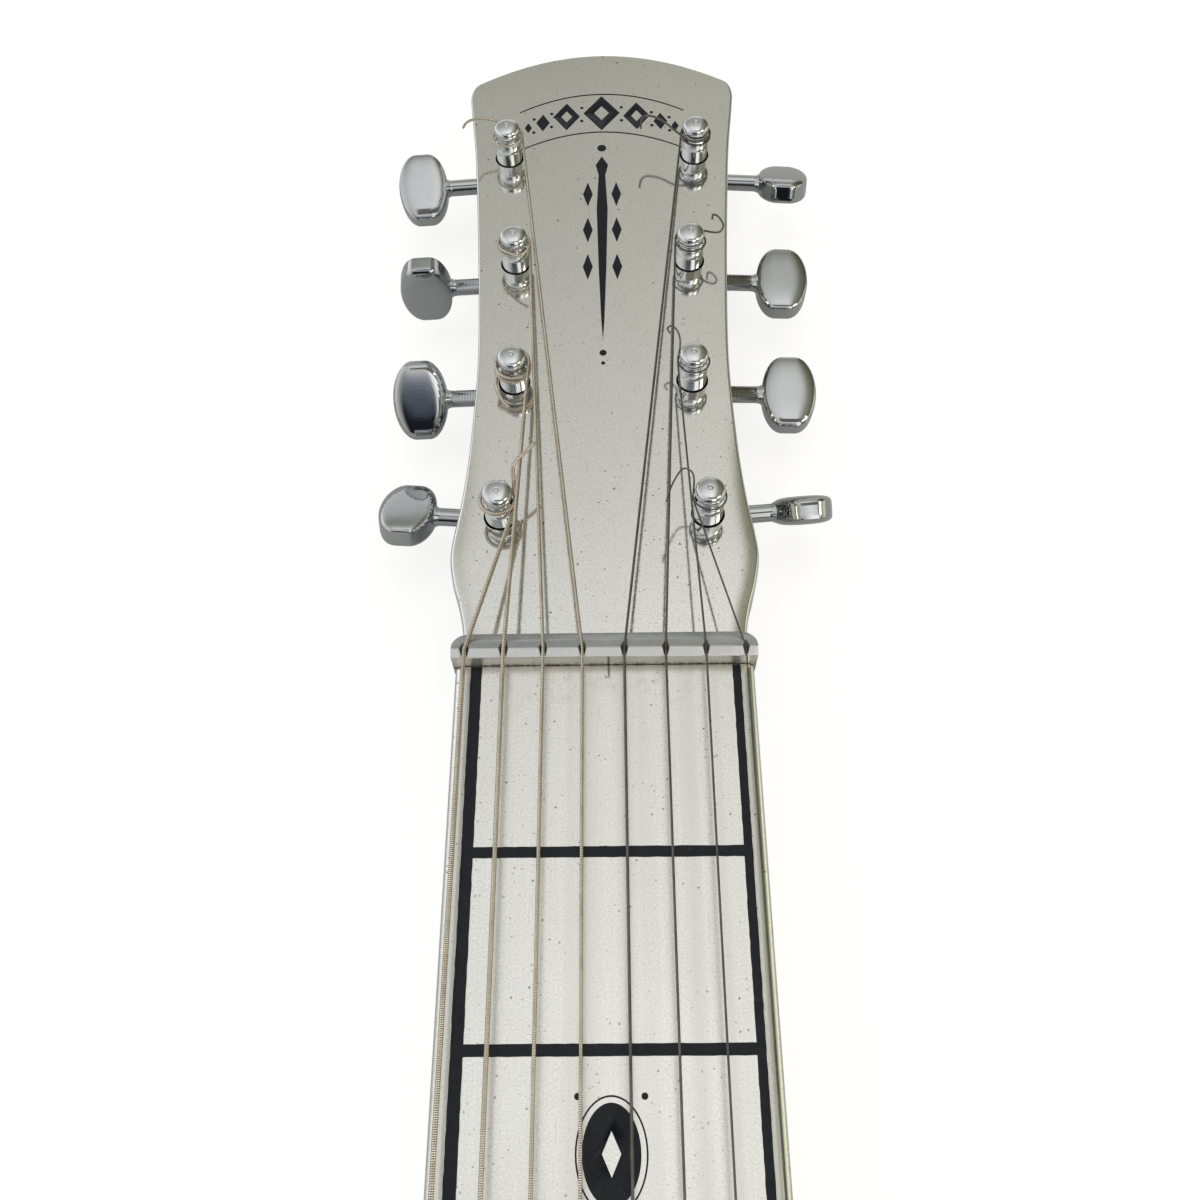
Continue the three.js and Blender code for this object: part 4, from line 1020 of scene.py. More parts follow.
# %% The nut
NUT_BACK = NUT_FRONT + 5.84
NUT_HALF = 28.2
NUT_CORNER = 3.6
NOTCH_FLOOR = BOARD_Z + 3.6
STRING_NUT_X = (-25.7, -18.5, -11.2, -4.0, 3.7, 11.3, 18.7, 26.0)
STRING_THICK = (0.86, 0.82, 0.68, 0.59, 0.51, 0.44, 0.40, 0.36)


def build_nut():
    side = [(NUT_FRONT, 36.3), (NUT_BACK, 36.3), (NUT_BACK, 41.6), (NUT_BACK - 0.8, 42.4),
            (NUT_FRONT + 1.65, 44.35), (NUT_FRONT + 1.5, 44.35), (NUT_FRONT, NUT_BEVEL_LOW)]
    nut = outline_piece("nut_bar", [(-NUT_HALF, y, z) for y, z in side])
    extrude_to(2 * NUT_HALF, 0, 0)
    close(nut)
    rounding = rounded_block(
        "rounding", -NUT_HALF, NUT_HALF, NUT_BACK - 24, NUT_BACK, 30, 50, NUT_CORNER, steps=10)
    bpy.ops.object.mode_set(mode="OBJECT")
    carve(nut, [rounding], "INTERSECT")
    notches = []
    for x, thick in zip(STRING_NUT_X, STRING_THICK):
        foot = thick / 2 + 0.05
        vee = [(-foot, NOTCH_FLOOR), (foot, NOTCH_FLOOR), (foot + 0.85, 45.2), (-foot - 0.85, 45.2)]
        rings = [[(x + u, y, z) for u, z in vee] for y in (NUT_FRONT - 1, NUT_BACK + 1)]
        notches.append(close(lofted("notch", rings)))
    carve(nut, notches)
    return eased(nut, 0.13, segments=3)


# Painted shade and dirt: a dark material for the insides of the nut's notches
def notch_shade_and_grime_finish():
    f = Finish("notch_shade_and_grime", (0.11, 0.10, 0.085), metallic=0.5, roughness=0.5)
    f.tint(f.levels(f.noise(1.4, 3), 0.40, 0.65, 0, 0.7), (0.30, 0.28, 0.24))
    f.raise_by(f.noise(4, 2), 0.02)
    return f.done()


def darken_notches(obj, material):
    """Gives the faces inside the notches a second, dark material: painted shade in these recesses, and dirt
    where strings rub.
    """
    obj.data.materials.append(material)
    for face in obj.data.polygons:
        middle = face.center / MM
        nearest = min(abs(middle.x - x) for x in STRING_NUT_X)
        inside = abs(face.normal.x) > 0.4 or (middle.z < NOTCH_FLOOR + 0.1 and middle.y > NUT_FRONT + 0.3)
        if middle.z > NOTCH_FLOOR - 0.1 and nearest < 1.25 and inside:
            face.material_index = 1


nut = dress(build_nut(), NUT_FINISH, nodes=["nut"])
darken_notches(nut, notch_shade_and_grime_finish())
print("nut faces:", faces_of(nut))

# %% [markdown]
# The black lines are enamel that fills shallow grooves: two stripes along the fretboard and a line for
# each fret between them. Paint in the metal's own finish would do from afar, but close up each line has
# a slightly ragged edge and a hair of thickness. So each is a thin strip of its own, cut into many short
# steps whose sides wander a little.

# %% Enamel stripes and fret lines
ENAMEL_PROUD = 0.05
ENAMEL_ROOT = 0.02
STRIPE_HALF_GAP = 24.17
STRIPE_SPREAD = 0.0002
STRIPE_SHIFT = 0.47
STRIPES = ((-1, 2.1), (1, 1.55))
STRIPE_END = BOARD_LENGTH - 3
FRET_LINE = 1.95
FRETS = 24
rand = random.Random(8)


def fret_distance(number):
    return SCALE_LENGTH * (1 - 2 ** (-number / 12))


def ragged_strip(name, start, end, width, step, wander, proud=ENAMEL_PROUD):
    """A thin raised strip between two points on the board, with slightly uneven sides."""
    start, end = Vector(start), Vector(end)
    run = (end - start).normalized()
    side = Vector((-run.y, run.x))
    count = max(2, round((end - start).length / step))
    near, far = [], []
    for i in range(count + 1):
        at = start + (end - start) * (i / count)
        near.append(at - side * (width / 2 + rand.uniform(-wander, wander)))
        far.append(at + side * (width / 2 + rand.uniform(-wander, wander)))
    strip = outline_piece(name, [(p.x, p.y, BOARD_Z - ENAMEL_ROOT) for p in near + far[::-1]])
    extrude_to(0, 0, proud + ENAMEL_ROOT)
    return close(strip)


def stripe_x(side, distance):
    return STRIPE_SHIFT + side * STRIPE_HALF_GAP * (1 + STRIPE_SPREAD * distance)


def board_lines():
    strips = []
    for side, width in STRIPES:
        ends = [(stripe_x(side, d) + side * width / 2 - side, NUT_Y - d) for d in (-0.9, STRIPE_END)]
        strips.append(ragged_strip("stripe", ends[0], ends[1], width, 1.1, 0.05))
    for number in range(1, FRETS + 1):
        distance = fret_distance(number)
        y = NUT_Y - distance
        ends = [(stripe_x(side, distance) - side * 0.2, y) for side in (-1, 1)]
        strips.append(ragged_strip("fret", ends[0], ends[1], FRET_LINE, 1.3, 0.045, ENAMEL_PROUD - 0.005))
    return joined(strips, "fretboard_lines")


lines = dress(board_lines(), ENAMEL)
print("stripes and", FRETS, "fret lines, faces:", faces_of(lines))

# %% [markdown]
# Oval marks sit between the lines at the places that matter for playing: third, fifth, seventh, ninth and
# twelfth frets and again an octave up. Each is a dark oval in a thin ring, with a pale lozenge of bare
# metal left open in its middle. Every shape here is a flat outline that is extruded by a hair, and its
# openings are cut with taller outlines. One mark is made so, and the others are copies of it.

# %% Fretboard marks
MARKED = (3, 5, 7, 9, 12, 15, 17, 19, 21, 24)
MARK_X = 0.65
OVAL = (4.6, 7.4)
RING = (5.7, 8.5)
RING_LINE = 0.28
LOZENGE = (1.5, 3.3)
BEAD, BEAD_AT = 0.55, (5.3, 8.3)


def oval_points(half_x, half_y, x, y, count=48):
    angles = [math.tau * i / count for i in range(count)]
    return [(x + half_x * math.cos(a), y + half_y * math.sin(a)) for a in angles]


def lozenge_points(half_x, half_y, x, y):
    return [(x + half_x, y), (x, y + half_y), (x - half_x, y), (x, y - half_y)]


def flat_shape(name, points, holes=(), low=BOARD_Z):
    """A thin raised shape with an outline and any holes, between the board and a little above it."""
    shape = outline_piece(name, [(x, y, low - ENAMEL_ROOT) for x, y in points])
    extrude_to(0, 0, ENAMEL_PROUD + ENAMEL_ROOT)
    close(shape)
    for hole in holes:
        tool = outline_piece("hole", [(x, y, low - 1) for x, y in hole])
        extrude_to(0, 0, 3)
        carve(shape, [close(tool)])
    return shape


def fret_mark():
    inner = [half - RING_LINE for half in RING]
    shapes = [
        flat_shape("oval", oval_points(*OVAL, MARK_X, 0), [lozenge_points(*LOZENGE, MARK_X, 0)]),
        flat_shape("ring", oval_points(*RING, MARK_X, 0), [oval_points(*inner, MARK_X, 0)]),
    ]
    for side_x in (-1, 1):
        for side_y in (-1, 1):
            at = (MARK_X + side_x * BEAD_AT[0], side_y * BEAD_AT[1])
            shapes.append(flat_shape("bead", oval_points(BEAD, BEAD, *at, 16)))
    return joined(shapes, "mark")


def copied(obj, name, move=(0, 0, 0)):
    copy = obj.copy()
    copy.data = obj.data.copy()
    copy.name = copy.data.name = name
    bpy.context.scene.collection.objects.link(copy)
    return moved(copy, *move)


def board_marks():
    first = fret_mark()
    marks = []
    for number in MARKED:
        middle = (fret_distance(number - 1) + fret_distance(number)) / 2
        marks.append(copied(first, f"mark_{number}", (0, NUT_Y - middle, 0)))
    bpy.data.objects.remove(first)
    return joined(marks, "fretboard_marks")


marks = dress(board_marks(), ENAMEL)
print("fretboard marks:", len(MARKED), "faces:", faces_of(marks))

# %% [markdown]
# The head carries a quiet ornament in the same enamel: a double arch that follows the head's end, a row
# of lozenges that grow towards the middle, and a long slender spear with beads down the middle. All of
# it is a plain design made for this guitar, as thin as the lines on the board.

# %% The ornament's arches and its row of lozenges
ARCH_Y = NUT_Y + 163.0
ARCH_DROP = 6.2
ARCH_HALF = 20.5
ARCH_LINE = 0.34
ARCH_GAP = 13.4
ROW_DROP = 6.9
LOZENGE_ROW = ((0, 4.5, 6.0), (8.7, 3.3, 4.7), (14.6, 1.7, 2.9), (18.2, 0.9, 1.7))


def arch_y(x, drop):
    return ARCH_Y - drop - ARCH_DROP * (x / ARCH_HALF) ** 2


def arch_line(drop):
    """A thin line that runs parallel to the head's arched end."""
    across = [-ARCH_HALF + 2 * ARCH_HALF * i / 32 for i in range(33)]
    upper = [(x, arch_y(x, drop)) for x in across]
    lower = [(x, y - ARCH_LINE) for x, y in upper]
    return flat_shape("arch_line", upper + lower[::-1], low=HEAD_Z)


def lozenge_row():
    shapes = []
    for x, half_x, half_y in LOZENGE_ROW:
        for side in ((-1, 1) if x else (1,)):
            at = (side * x, arch_y(x, ROW_DROP))
            hole = [lozenge_points(half_x * 0.42, half_y * 0.42, *at)] if half_x > 2 else []
            shapes.append(flat_shape("lozenge", lozenge_points(half_x, half_y, *at), hole, HEAD_Z))
    for a, b in zip(LOZENGE_ROW, LOZENGE_ROW[1:]):
        x = (a[0] + a[1] + b[0] - b[1]) / 2
        for side in (-1, 1):
            for rise in (-2.3, 2.3):
                bead = oval_points(0.42, 0.42, side * x, arch_y(x, ROW_DROP) + rise, 14)
                shapes.append(flat_shape("bead", bead, low=HEAD_Z))
    return shapes


arches = [arch_line(0), arch_line(ARCH_GAP), *lozenge_row()]
print("shapes in the arches and the row:", len(arches))

# %% The ornament's spear
SPEAR_TOP, SPEAR_END = NUT_Y + 141, NUT_Y + 84
SPEAR_HALVES = ((0.05, 1.5), (0.11, 0.8), (0.3, 1.3), (0.62, 0.9), (0.9, 0.35))


def spear_shapes():
    """The spear, the beads on its line and the leaves beside it, placed by shares of its length."""
    length = SPEAR_TOP - SPEAR_END
    spear = [(0, SPEAR_TOP)]
    spear += [(half, SPEAR_TOP - share * length) for share, half in SPEAR_HALVES]
    spear += [(0, SPEAR_END)] + [(-x, y) for x, y in reversed(spear[1:])]
    shapes = [flat_shape("spear", spear, low=HEAD_Z)]
    for share, half in ((-0.05, 1.1), (1.06, 0.8), (1.11, 0.45)):
        bead = oval_points(half, half, 0, SPEAR_TOP - share * length, 20)
        shapes.append(flat_shape("bead", bead, low=HEAD_Z))
    for share in (0.22, 0.42, 0.62):
        for side in (-1, 1):
            at = (side * 3.4, SPEAR_TOP - share * length)
            shapes.append(flat_shape("leaf", lozenge_points(1.15, 3.9, *at), low=HEAD_Z))
    return shapes


ornament = dress(joined([*arches, *spear_shapes()], "head_ornament"), ENAMEL)
print("ornament faces:", faces_of(ornament))

# %% [markdown]
# Four strings are wound and four are plain. Each runs from the bridge's lip over the saddle and through
# its notch in the nut, goes round its post and ends in a loose tail that keeps the bends it was given.
# A string is a fixed route, so it is a tube along worked-out points. Its UV map counts millimetres along
# the string, and the wound ones take their fine rope pattern from it.

# %% How each string is wound
POST_RADIUS = 3.1
WIND_Z = HEAD_Z + 7.1
WIND_GAP = 0.08
REST_GAP = 0.02
TURN_SPACE = 0.5
LOOP_STEPS = 40
WIRE_SIDES = 12
WINDING_PITCH = 0.34
BRIDGE_SPREAD = 59
SADDLE_RADIUS = 3
SADDLE_Z = 45.3
LIP_Y = -28
SLOT_FLOOR = 41.6
# For each string: row counted from the head's end, side, whole loops, the angle at which it leaves its
# post, whether it winds downwards, and its tail: outwards, towards the head's end, above the head
WINDINGS = [
    (4, -1, 1, 20, False, [(-3.3, 3.4, 9.0), (-3.3, 4.9, 10.8), (-4.2, 6.2, 11.5), (-5.6, 7.6, 11.7),
                           (-7.6, 9.8, 11.9)]),
    (3, -1, 2, 200, True, [(3.6, -3.6, 3.4), (2.6, -5.6, 2.0), (1.0, -7.3, 1.0)]),
    (2, -1, 1, 240, False, [(-0.4, -4.8, 7.9), (-2.4, -5.9, 8.3)]),
    (1, -1, 1, 90, False, [(4.0, 4.1, 8.0), (7.4, 3.8, 8.6), (9.6, 2.2, 9.0), (10.4, 0.4, 9.0)]),
    (1, 1, 1, 300, False, [(-4.6, -1.3, 8.2), (-8.2, 1.9, 9.0), (-11.4, 3.0, 9.4), (-12.8, 1.6, 9.4),
                           (-13.2, -1.0, 9.2)]),
    (2, 1, 1, 110, False, [(3.9, 1.2, 8.0), (6.4, 0.6, 8.4), (7.4, 2.2, 8.8), (6.4, 4.4, 9.2),
                           (5.2, 4.9, 9.4), (4.9, 3.2, 9.8)]),
    (3, 1, 1, 20, False, [(-2.8, 3.4, 8.4), (-3.2, 5.4, 9.4), (-4.4, 6.9, 9.8), (-5.5, 6.2, 9.9),
                          (-5.0, 4.9, 9.9)]),
    (4, 1, 1, 10, False, [(-3.2, 2.4, 9.4), (-3.9, 3.4, 10.8), (-5.75, 3.1, 11.6), (-7.9, -1.0, 12.0),
                          (-9.0, -4.6, 12.0)]),
]


def saddle_x(index):
    return BRIDGE_SPREAD * (index / (len(WINDINGS) - 1) - 0.5)


print("strings on the saddle at:", [round(saddle_x(index), 1) for index in range(len(WINDINGS))])

# %% The strings' routes
def string_route(index):
    row, side, loops, leave, down, tail = WINDINGS[index]
    post_y, post_x, _ = POST_ROWS[row - 1]
    thick, nut_x = STRING_THICK[index], STRING_NUT_X[index]
    radius = thick / 2
    x = saddle_x(index)
    top = SADDLE_Z + SADDLE_RADIUS + REST_GAP + radius
    ends = [(LIP_Y - 3.4, SLOT_FLOOR + 1.4), (LIP_Y + 2.5, SLOT_FLOOR + 1.6), (-2.4, top - 0.65),
            (-1, top - 0.02), (1, top + 0.03)]
    points = [Vector((x, BRIDGE_Y + y, z)) for y, z in ends]
    points.append(Vector((nut_x, NUT_Y + BOARD_END + 1.6, NOTCH_FLOOR + REST_GAP + radius)))
    middle = Vector((-post_x, NUT_Y + post_y))
    start = Vector((-side * nut_x, points[-1].y)) - middle
    wind = POST_RADIUS + WIND_GAP + radius
    first = math.atan2(start.y, start.x) + math.acos(wind / start.length)
    sweep = loops * math.tau + (math.radians(leave) - first) % math.tau
    steps = math.ceil(sweep / math.tau * LOOP_STEPS)
    climb = (thick + TURN_SPACE) * sweep / math.tau
    loop = []
    for k in range(steps + 1):
        angle = first + sweep * k / steps
        height = WIND_Z - climb * (k if down else steps - k) / steps
        loop.append(Vector((-side * (middle.x + wind * math.cos(angle)),
                            middle.y + wind * math.sin(angle), height)))
    points += loop
    loose = [Vector((side * (post_x + out), NUT_Y + post_y + up, HEAD_Z + above)) for out, up, above in tail]
    curve = smooth_through([loop[-3], loop[-1], *loose], 6)
    return points + curve[7:]


routes = [string_route(index) for index in range(len(WINDINGS))]
print("longest route in points:", max(len(points) for points in routes))

# %% A round wire along a route
def wire_mesh(name, points, radius, sides):
    """A round tube along points in millimetres, with UV = (turn, millimetres along it)."""
    mesh = bmesh.new()
    uv = mesh.loops.layers.uv.new("along")
    rings, lengths = [], []
    normal = Vector((0, 0, 1))
    travelled = 0
    for i, point in enumerate(points):
        before, after = points[max(i - 1, 0)], points[min(i + 1, len(points) - 1)]
        travelled += (point - before).length
        tangent = (after - before).normalized()
        normal = (normal - tangent * normal.dot(tangent)).normalized()
        side = tangent.cross(normal)
        ring = []
        for j in range(sides):
            angle = math.tau * j / sides
            outward = side * math.cos(angle) + normal * math.sin(angle)
            ring.append(mesh.verts.new((point + outward * radius) * MM))
        rings.append(ring)
        lengths.append(travelled)
    for i in range(len(rings) - 1):
        for j in range(sides):
            k = (j + 1) % sides
            face = mesh.faces.new((rings[i][j], rings[i][k], rings[i + 1][k], rings[i + 1][j]))
            face.smooth = True
            corners = ((j, i), (j + 1, i), (j + 1, i + 1), (j, i + 1))
            for loop, (u, v) in zip(face.loops, corners):
                loop[uv].uv = (u / sides, lengths[v])
    mesh.faces.new(rings[0][::-1])
    mesh.faces.new(rings[-1])
    bmesh.ops.recalc_face_normals(mesh, faces=mesh.faces)
    data = bpy.data.meshes.new(name)
    mesh.to_mesh(data)
    mesh.free()
    obj = bpy.data.objects.new(name, data)
    bpy.context.scene.collection.objects.link(obj)
    return obj


print("wire ready, sides:", WIRE_SIDES)

# %% [markdown]
# A wound string is a steel core inside a tight helix of nickel wire. The helix could be modelled, but
# about 2,000 turns on each would be heavy and look no different from a pattern. So the finish draws it
# from the UV map, as bump and as painted shade in the grooves between the turns. The plain strings are
# dark steel with a little rust.

# %% The strings' finishes, and the eight strings
def wound_finish():
    """The winding is a sine along the string that the turn round it shifts, so it runs as a helix."""
    f = Finish("nickel_winding", (0.84, 0.77, 0.66), metallic=1.0, roughness=0.26)
    split = f.new("SeparateXYZ", Vector=f.mapped((1, 1, 1), "UV"))
    turns = f.math("ADD", f.both(split.outputs["Y"], 1 / WINDING_PITCH), split.outputs["X"])
    wave = f.math("SINE", f.both(turns, math.tau))
    # Painted shade: the grooves between the turns of the winding are darkened
    f.tint(f.levels(wave, -0.9, 0.35, 0.8, 0), (0.10, 0.08, 0.065))
    tarnish = f.noise(0.25, 4)
    f.tint(f.levels(tarnish, 0.42, 0.7, 0, 0.45), (0.36, 0.29, 0.23))
    f.raise_by(f.levels(wave, -1, 1), 0.03)
    return f.done()


def plain_finish():
    f = Finish("plain_string_steel", (0.15, 0.145, 0.14), metallic=0.9, roughness=0.3)
    tarnish = f.noise(0.3, 4)
    f.tint(f.levels(tarnish, 0.42, 0.66, 0, 0.6), (0.085, 0.08, 0.075))
    f.tint(f.levels(f.noise(1.5, 2), 0.64, 0.72, 0, 0.5), (0.06, 0.045, 0.035))
    f.raise_by(f.noise(3, 2), 0.01)
    return f.done()


WOUND, PLAIN = wound_finish(), plain_finish()
for index, points in enumerate(routes):
    number = len(routes) - index
    wire = wire_mesh(f"wire_{number}", points, STRING_THICK[index] / 2, WIRE_SIDES)
    wound = number > len(routes) / 2
    dress(wire, WOUND if wound else PLAIN,
          nodes=[f"string_{number}"])
print("strings:", len(routes))

# %% [markdown]
# A tuner is three pieces: a post with its gear, a key with its worm, and a housing that holds both under
# the head. The post is turned on a lathe, so it is spun from its profile: a shaft, the groove where the
# string lies, and a domed cap with a tiny raised ring in its middle, as a lathe's centre leaves it. The
# gear's teeth are an outline that is extruded in steps, each turned a little, to slant with the worm.

# %% One tuner post
KEY_DROP = 17.2
KEY_Z = HEAD_Z - KEY_DROP
KEY_OFFSET = 9.3
GEAR_TEETH = 15
GEAR_PITCH_RADIUS, GEAR_TIP, GEAR_ROOT, GEAR_WIDTH = 6, 6.5, 5.1, 4
GEAR_STEPS = 4
WORM_TIP, WORM_ROOT = 3.8, 2.3
WORM_PITCH = math.tau * GEAR_PITCH_RADIUS / GEAR_TEETH
WORM_LEAD = math.atan(WORM_PITCH / (math.pi * (WORM_ROOT + WORM_TIP)))
CAP_CURVE = [(2.45, 6.3), (2.72, 6.8), (2.98, 7.6), (3.1, 8.4), (3.0, 9.0), (2.55, 9.5), (1.6, 9.83),
             (0.6, 9.95)]


def post_profile():
    """From the foot up: pivot, shaft, waist for the string, and a cap with round sides and a low dome."""
    top = HEAD_Z
    low = KEY_Z - GEAR_WIDTH / 2
    profile = [
        (0, low - 1), (2.2, low - 1), (2.4, low - 0.8), (2.4, low + 1), (POST_RADIUS, low + 1),
        (POST_RADIUS, top + 3.2), (3.06, top + 3.3), (3.06, top + 3.5), (POST_RADIUS, top + 3.6),
        (POST_RADIUS, top + 5.2), (3.04, top + 5.45), (2.85, top + 5.7), (2.55, top + 5.9), (2.45, top + 6.1),
    ]
    profile += [(point.x, top + point.y) for point in smooth_through(CAP_CURVE, 4)]
    return profile + [(0.46, top + 9.88), (0.34, top + 9.94), (0, top + 9.99)]


def gear_outline(turn):
    points = []
    step = math.tau / GEAR_TEETH
    for i in range(GEAR_TEETH):
        middle = math.pi / 2 - step / 2 + i * step + turn
        for part, radius in ((-0.5, GEAR_ROOT), (-0.36, GEAR_ROOT + 0.05), (-0.12, GEAR_TIP - 0.1),
                             (0.0, GEAR_TIP), (0.12, GEAR_TIP - 0.1), (0.36, GEAR_ROOT + 0.05)):
            angle = middle + part * step
            points.append((radius * math.cos(angle), radius * math.sin(angle)))
    return points


def build_post():
    shaft = turned("post_shaft", post_profile(), 48, smooth=40)
    rings = []
    for i in range(GEAR_STEPS + 1):
        z = KEY_Z - GEAR_WIDTH / 2 + GEAR_WIDTH * i / GEAR_STEPS
        turn = (z - KEY_Z) * math.tan(WORM_LEAD) / GEAR_PITCH_RADIUS
        rings.append([(x, y, z) for x, y in gear_outline(turn)])
    gear = close(lofted("post_gear", rings), 30)
    weld(shaft, gear)
    hole = rod("string_hole", 0.75, (-4, 0, HEAD_Z + 5.4), (4, 0, HEAD_Z + 5.4), 16)
    carve(shaft, [hole])
    return shade(shaft, 40)


post = build_post()
print("one post, faces:", faces_of(post))

# %% [markdown]
# The key's button is cast: a long outline with cut-off ends, and faces like a cushion that flatten
# towards the middle but never become a true plane, because chrome on a plane shows one flat colour. The
# face is extruded and shrunk ring by ring. Insets would do it too, but the corners of the cut-off ends
# are tight and an inset crosses itself.

# %% The key's button
BUTTON_START, BUTTON_LENGTH, BUTTON_HEIGHT, BUTTON_THICK = 17, 12.5, 18.0, 6.3
BUTTON_FLAT = 1.6
CUSHION_RISE, CUSHION_POWER = 2.05, 3.4
CUSHION_RINGS = (0, 0.004, 0.012, 0.025, 0.045, 0.07, 0.1, 0.135, 0.18, 0.23, 0.29, 0.36, 0.44, 0.53,
                 0.63, 0.74, 0.86)


def cubic(p0, p1, p2, p3, steps):
    p0, p1, p2, p3 = (Vector(p) for p in (p0, p1, p2, p3))
    shares = [i / steps for i in range(steps)]
    return [p0 * (1 - t) ** 3 + 3 * p1 * t * (1 - t) ** 2 + 3 * p2 * t * t * (1 - t) + p3 * t ** 3
            for t in shares]


def button_outline():
    half, tall, flat = BUTTON_LENGTH / 2, BUTTON_HEIGHT / 2, BUTTON_FLAT
    quarter = cubic((half, 0), (half, 5.0), (flat + 2.5, tall - 0.1), (flat, tall), 16)
    top_left = [Vector((-p.x, p.y)) for p in reversed(quarter[1:])]
    ends = [Vector((flat, tall)), Vector((0, tall)), Vector((-flat, tall))]
    upper = quarter + ends + top_left + [Vector((-half, 0))]
    lower = [Vector((p.x, -p.y)) for p in reversed(upper[1:-1])]
    return upper + lower


def button_rings():
    """For each ring of a face its size as a share of the outline, and its height above the side wall."""
    n = CUSHION_POWER
    return [(1 - inward, CUSHION_RISE * (1 - (1 - inward) ** n) ** (1 / n)) for inward in CUSHION_RINGS]


def build_button():
    middle, rings = BUTTON_START + BUTTON_LENGTH / 2, button_rings()
    wall = BUTTON_THICK / 2 - CUSHION_RISE
    button = outline_piece("button", [(middle + p.x, -wall, p.y) for p in button_outline()])
    extrude_to(0, 2 * wall, 0)
    close(button)
    reopen(button)
    for direction in (-1, 1):
        pick(button, "FACE", lambda f: f.normal.y * direction > 0.99)
        for (was_size, was_up), (size, up) in zip(rings, rings[1:]):
            extrude_to(0, direction * (up - was_up), 0)
            shrink = size / was_size
            bpy.ops.transform.resize(value=(shrink, 1, shrink), center_override=mm(middle, 0, 0))
    bpy.ops.object.mode_set(mode="OBJECT")
    return shade(button, 50)


print("points round a button:", len(button_outline()))

# %% The key's shaft and worm, and the whole key
BUTTON_TURNS = {"left": (70, 1, 41, 114), "right": (119, 85, 80, -32)}
RIBBED = ("left_3", "right_3", "right_2", "left_2")
WORM_TURNS = 2


def shaft_profile(ribbed):
    profile = [(0, -8.2), (1.2, -8.2), (1.4, -8.0), (1.4, -6.6), (WORM_ROOT, -6.6), (WORM_ROOT, 6.6),
               (2, 6.6), (2, 8.9)]
    depth = 0.1 if ribbed else 0.02
    profile += ridges(9.2, BUTTON_START - 1.0, 0.36, 2 - depth, 2, 0.17)
    return profile + [(2, BUTTON_START - 0.6), (2.35, BUTTON_START + 0.1), (2.35, BUTTON_START + 2),
                      (0, BUTTON_START + 2)]


def worm_thread():
    rings = []
    steps = 20
    for i in range(WORM_TURNS * steps + 1):
        turn = i / steps - WORM_TURNS / 2
        angle = math.pi + turn * math.tau
        ring = []
        for along, radius in ((-0.7, WORM_ROOT - 0.4), (-0.14, WORM_TIP - 0.05), (0, WORM_TIP),
                              (0.14, WORM_TIP - 0.05), (0.7, WORM_ROOT - 0.4)):
            ring.append((turn * WORM_PITCH + along, radius * math.cos(angle), radius * math.sin(angle)))
        rings.append(ring)
    return close(lofted("worm_thread", rings), 30)


def build_key(button_turn, ribbed):
    """A right-hand key along +X from its post's line, its button turned about the shaft."""
    shaft = swung(turned("key_shaft", shaft_profile(ribbed), 32, smooth=30), math.pi / 2, "Y")
    button = swung(build_button(), -math.radians(button_turn), "X")
    key = weld(weld(shaft, worm_thread()), button)
    return shade(moved(key, 0, KEY_OFFSET, KEY_Z), 40)


def placed(obj, name, side, x, y, fan):
    """Turns a right-hand piece over for the left side and sets it at its post."""
    obj.name = obj.data.name = name
    if side < 0:
        obj.data.transform(Matrix.Scale(-1, 4, (1, 0, 0)))
        obj.data.flip_normals()
    obj.data.transform(Matrix.Translation(mm(x, y, 0)) @ Matrix.Rotation(fan, 4, "Z"))
    return obj


print("keys with ribbed shafts:", RIBBED)

# %% [markdown]
# Under the head each tuner has a pressed steel housing over its worm and gear. It is a rounded box that is
# hollowed and bored where the post and the key pass. Its two screws look down, so they are made looking up
# like any screw and then turned over.

# %% The housing's shell
HOUSING_HALF, HOUSING_FRONT, HOUSING_BACK = 8.4, -8.4, 14.6
HOUSING_WALL, HOUSING_DEPTH = 1.1, 5.2
HOUSING_SCREWS = ((-5.4, -5.9), (5.4, 12.1))


def build_housing():
    low, high, wall = KEY_Z - HOUSING_DEPTH, HEAD_Z - HEAD_THICK - 0.3, HOUSING_WALL
    shell = rounded_block("housing", -HOUSING_HALF, HOUSING_HALF, HOUSING_FRONT, HOUSING_BACK,
                          low, high, 3, steps=8)
    under = low * MM + 1e-6
    pick(shell, "EDGE", lambda e: all(v.co.z < under for v in e.verts))
    bpy.ops.mesh.bevel(offset=0.8 * MM, segments=4)
    close(shell)
    inside = rounded_block(
        "inside", -HOUSING_HALF + wall, HOUSING_HALF - wall, HOUSING_FRONT + wall, HOUSING_BACK - wall,
        low + wall, high - wall, 2, steps=4)
    bpy.ops.object.mode_set(mode="OBJECT")
    carve(shell, [inside])
    carve(shell, [
        rod("post_way", 3.5, (0, 0, high - 3), (0, 0, high + 3), 32),
        rod("shaft_way", 2.4, (5, KEY_OFFSET, KEY_Z), (HOUSING_HALF + 3, KEY_OFFSET, KEY_Z), 28),
        rod("tip_way", 1.8, (-HOUSING_HALF - 3, KEY_OFFSET, KEY_Z), (-5, KEY_OFFSET, KEY_Z), 24),
    ])
    seats = [rod("screw_seat", 1.75, (x, y, low - 1), (x, y, low + 0.7), 28) for x, y in HOUSING_SCREWS]
    carve(shell, seats)
    rib = [rod("cover_rim", 4.6, (0, 0, low - 1), (0, 0, low + 0.25), 40)]
    carve(shell, rib)
    return shade(shell, 30)


housing = build_housing()
print("one housing, faces:", faces_of(housing))

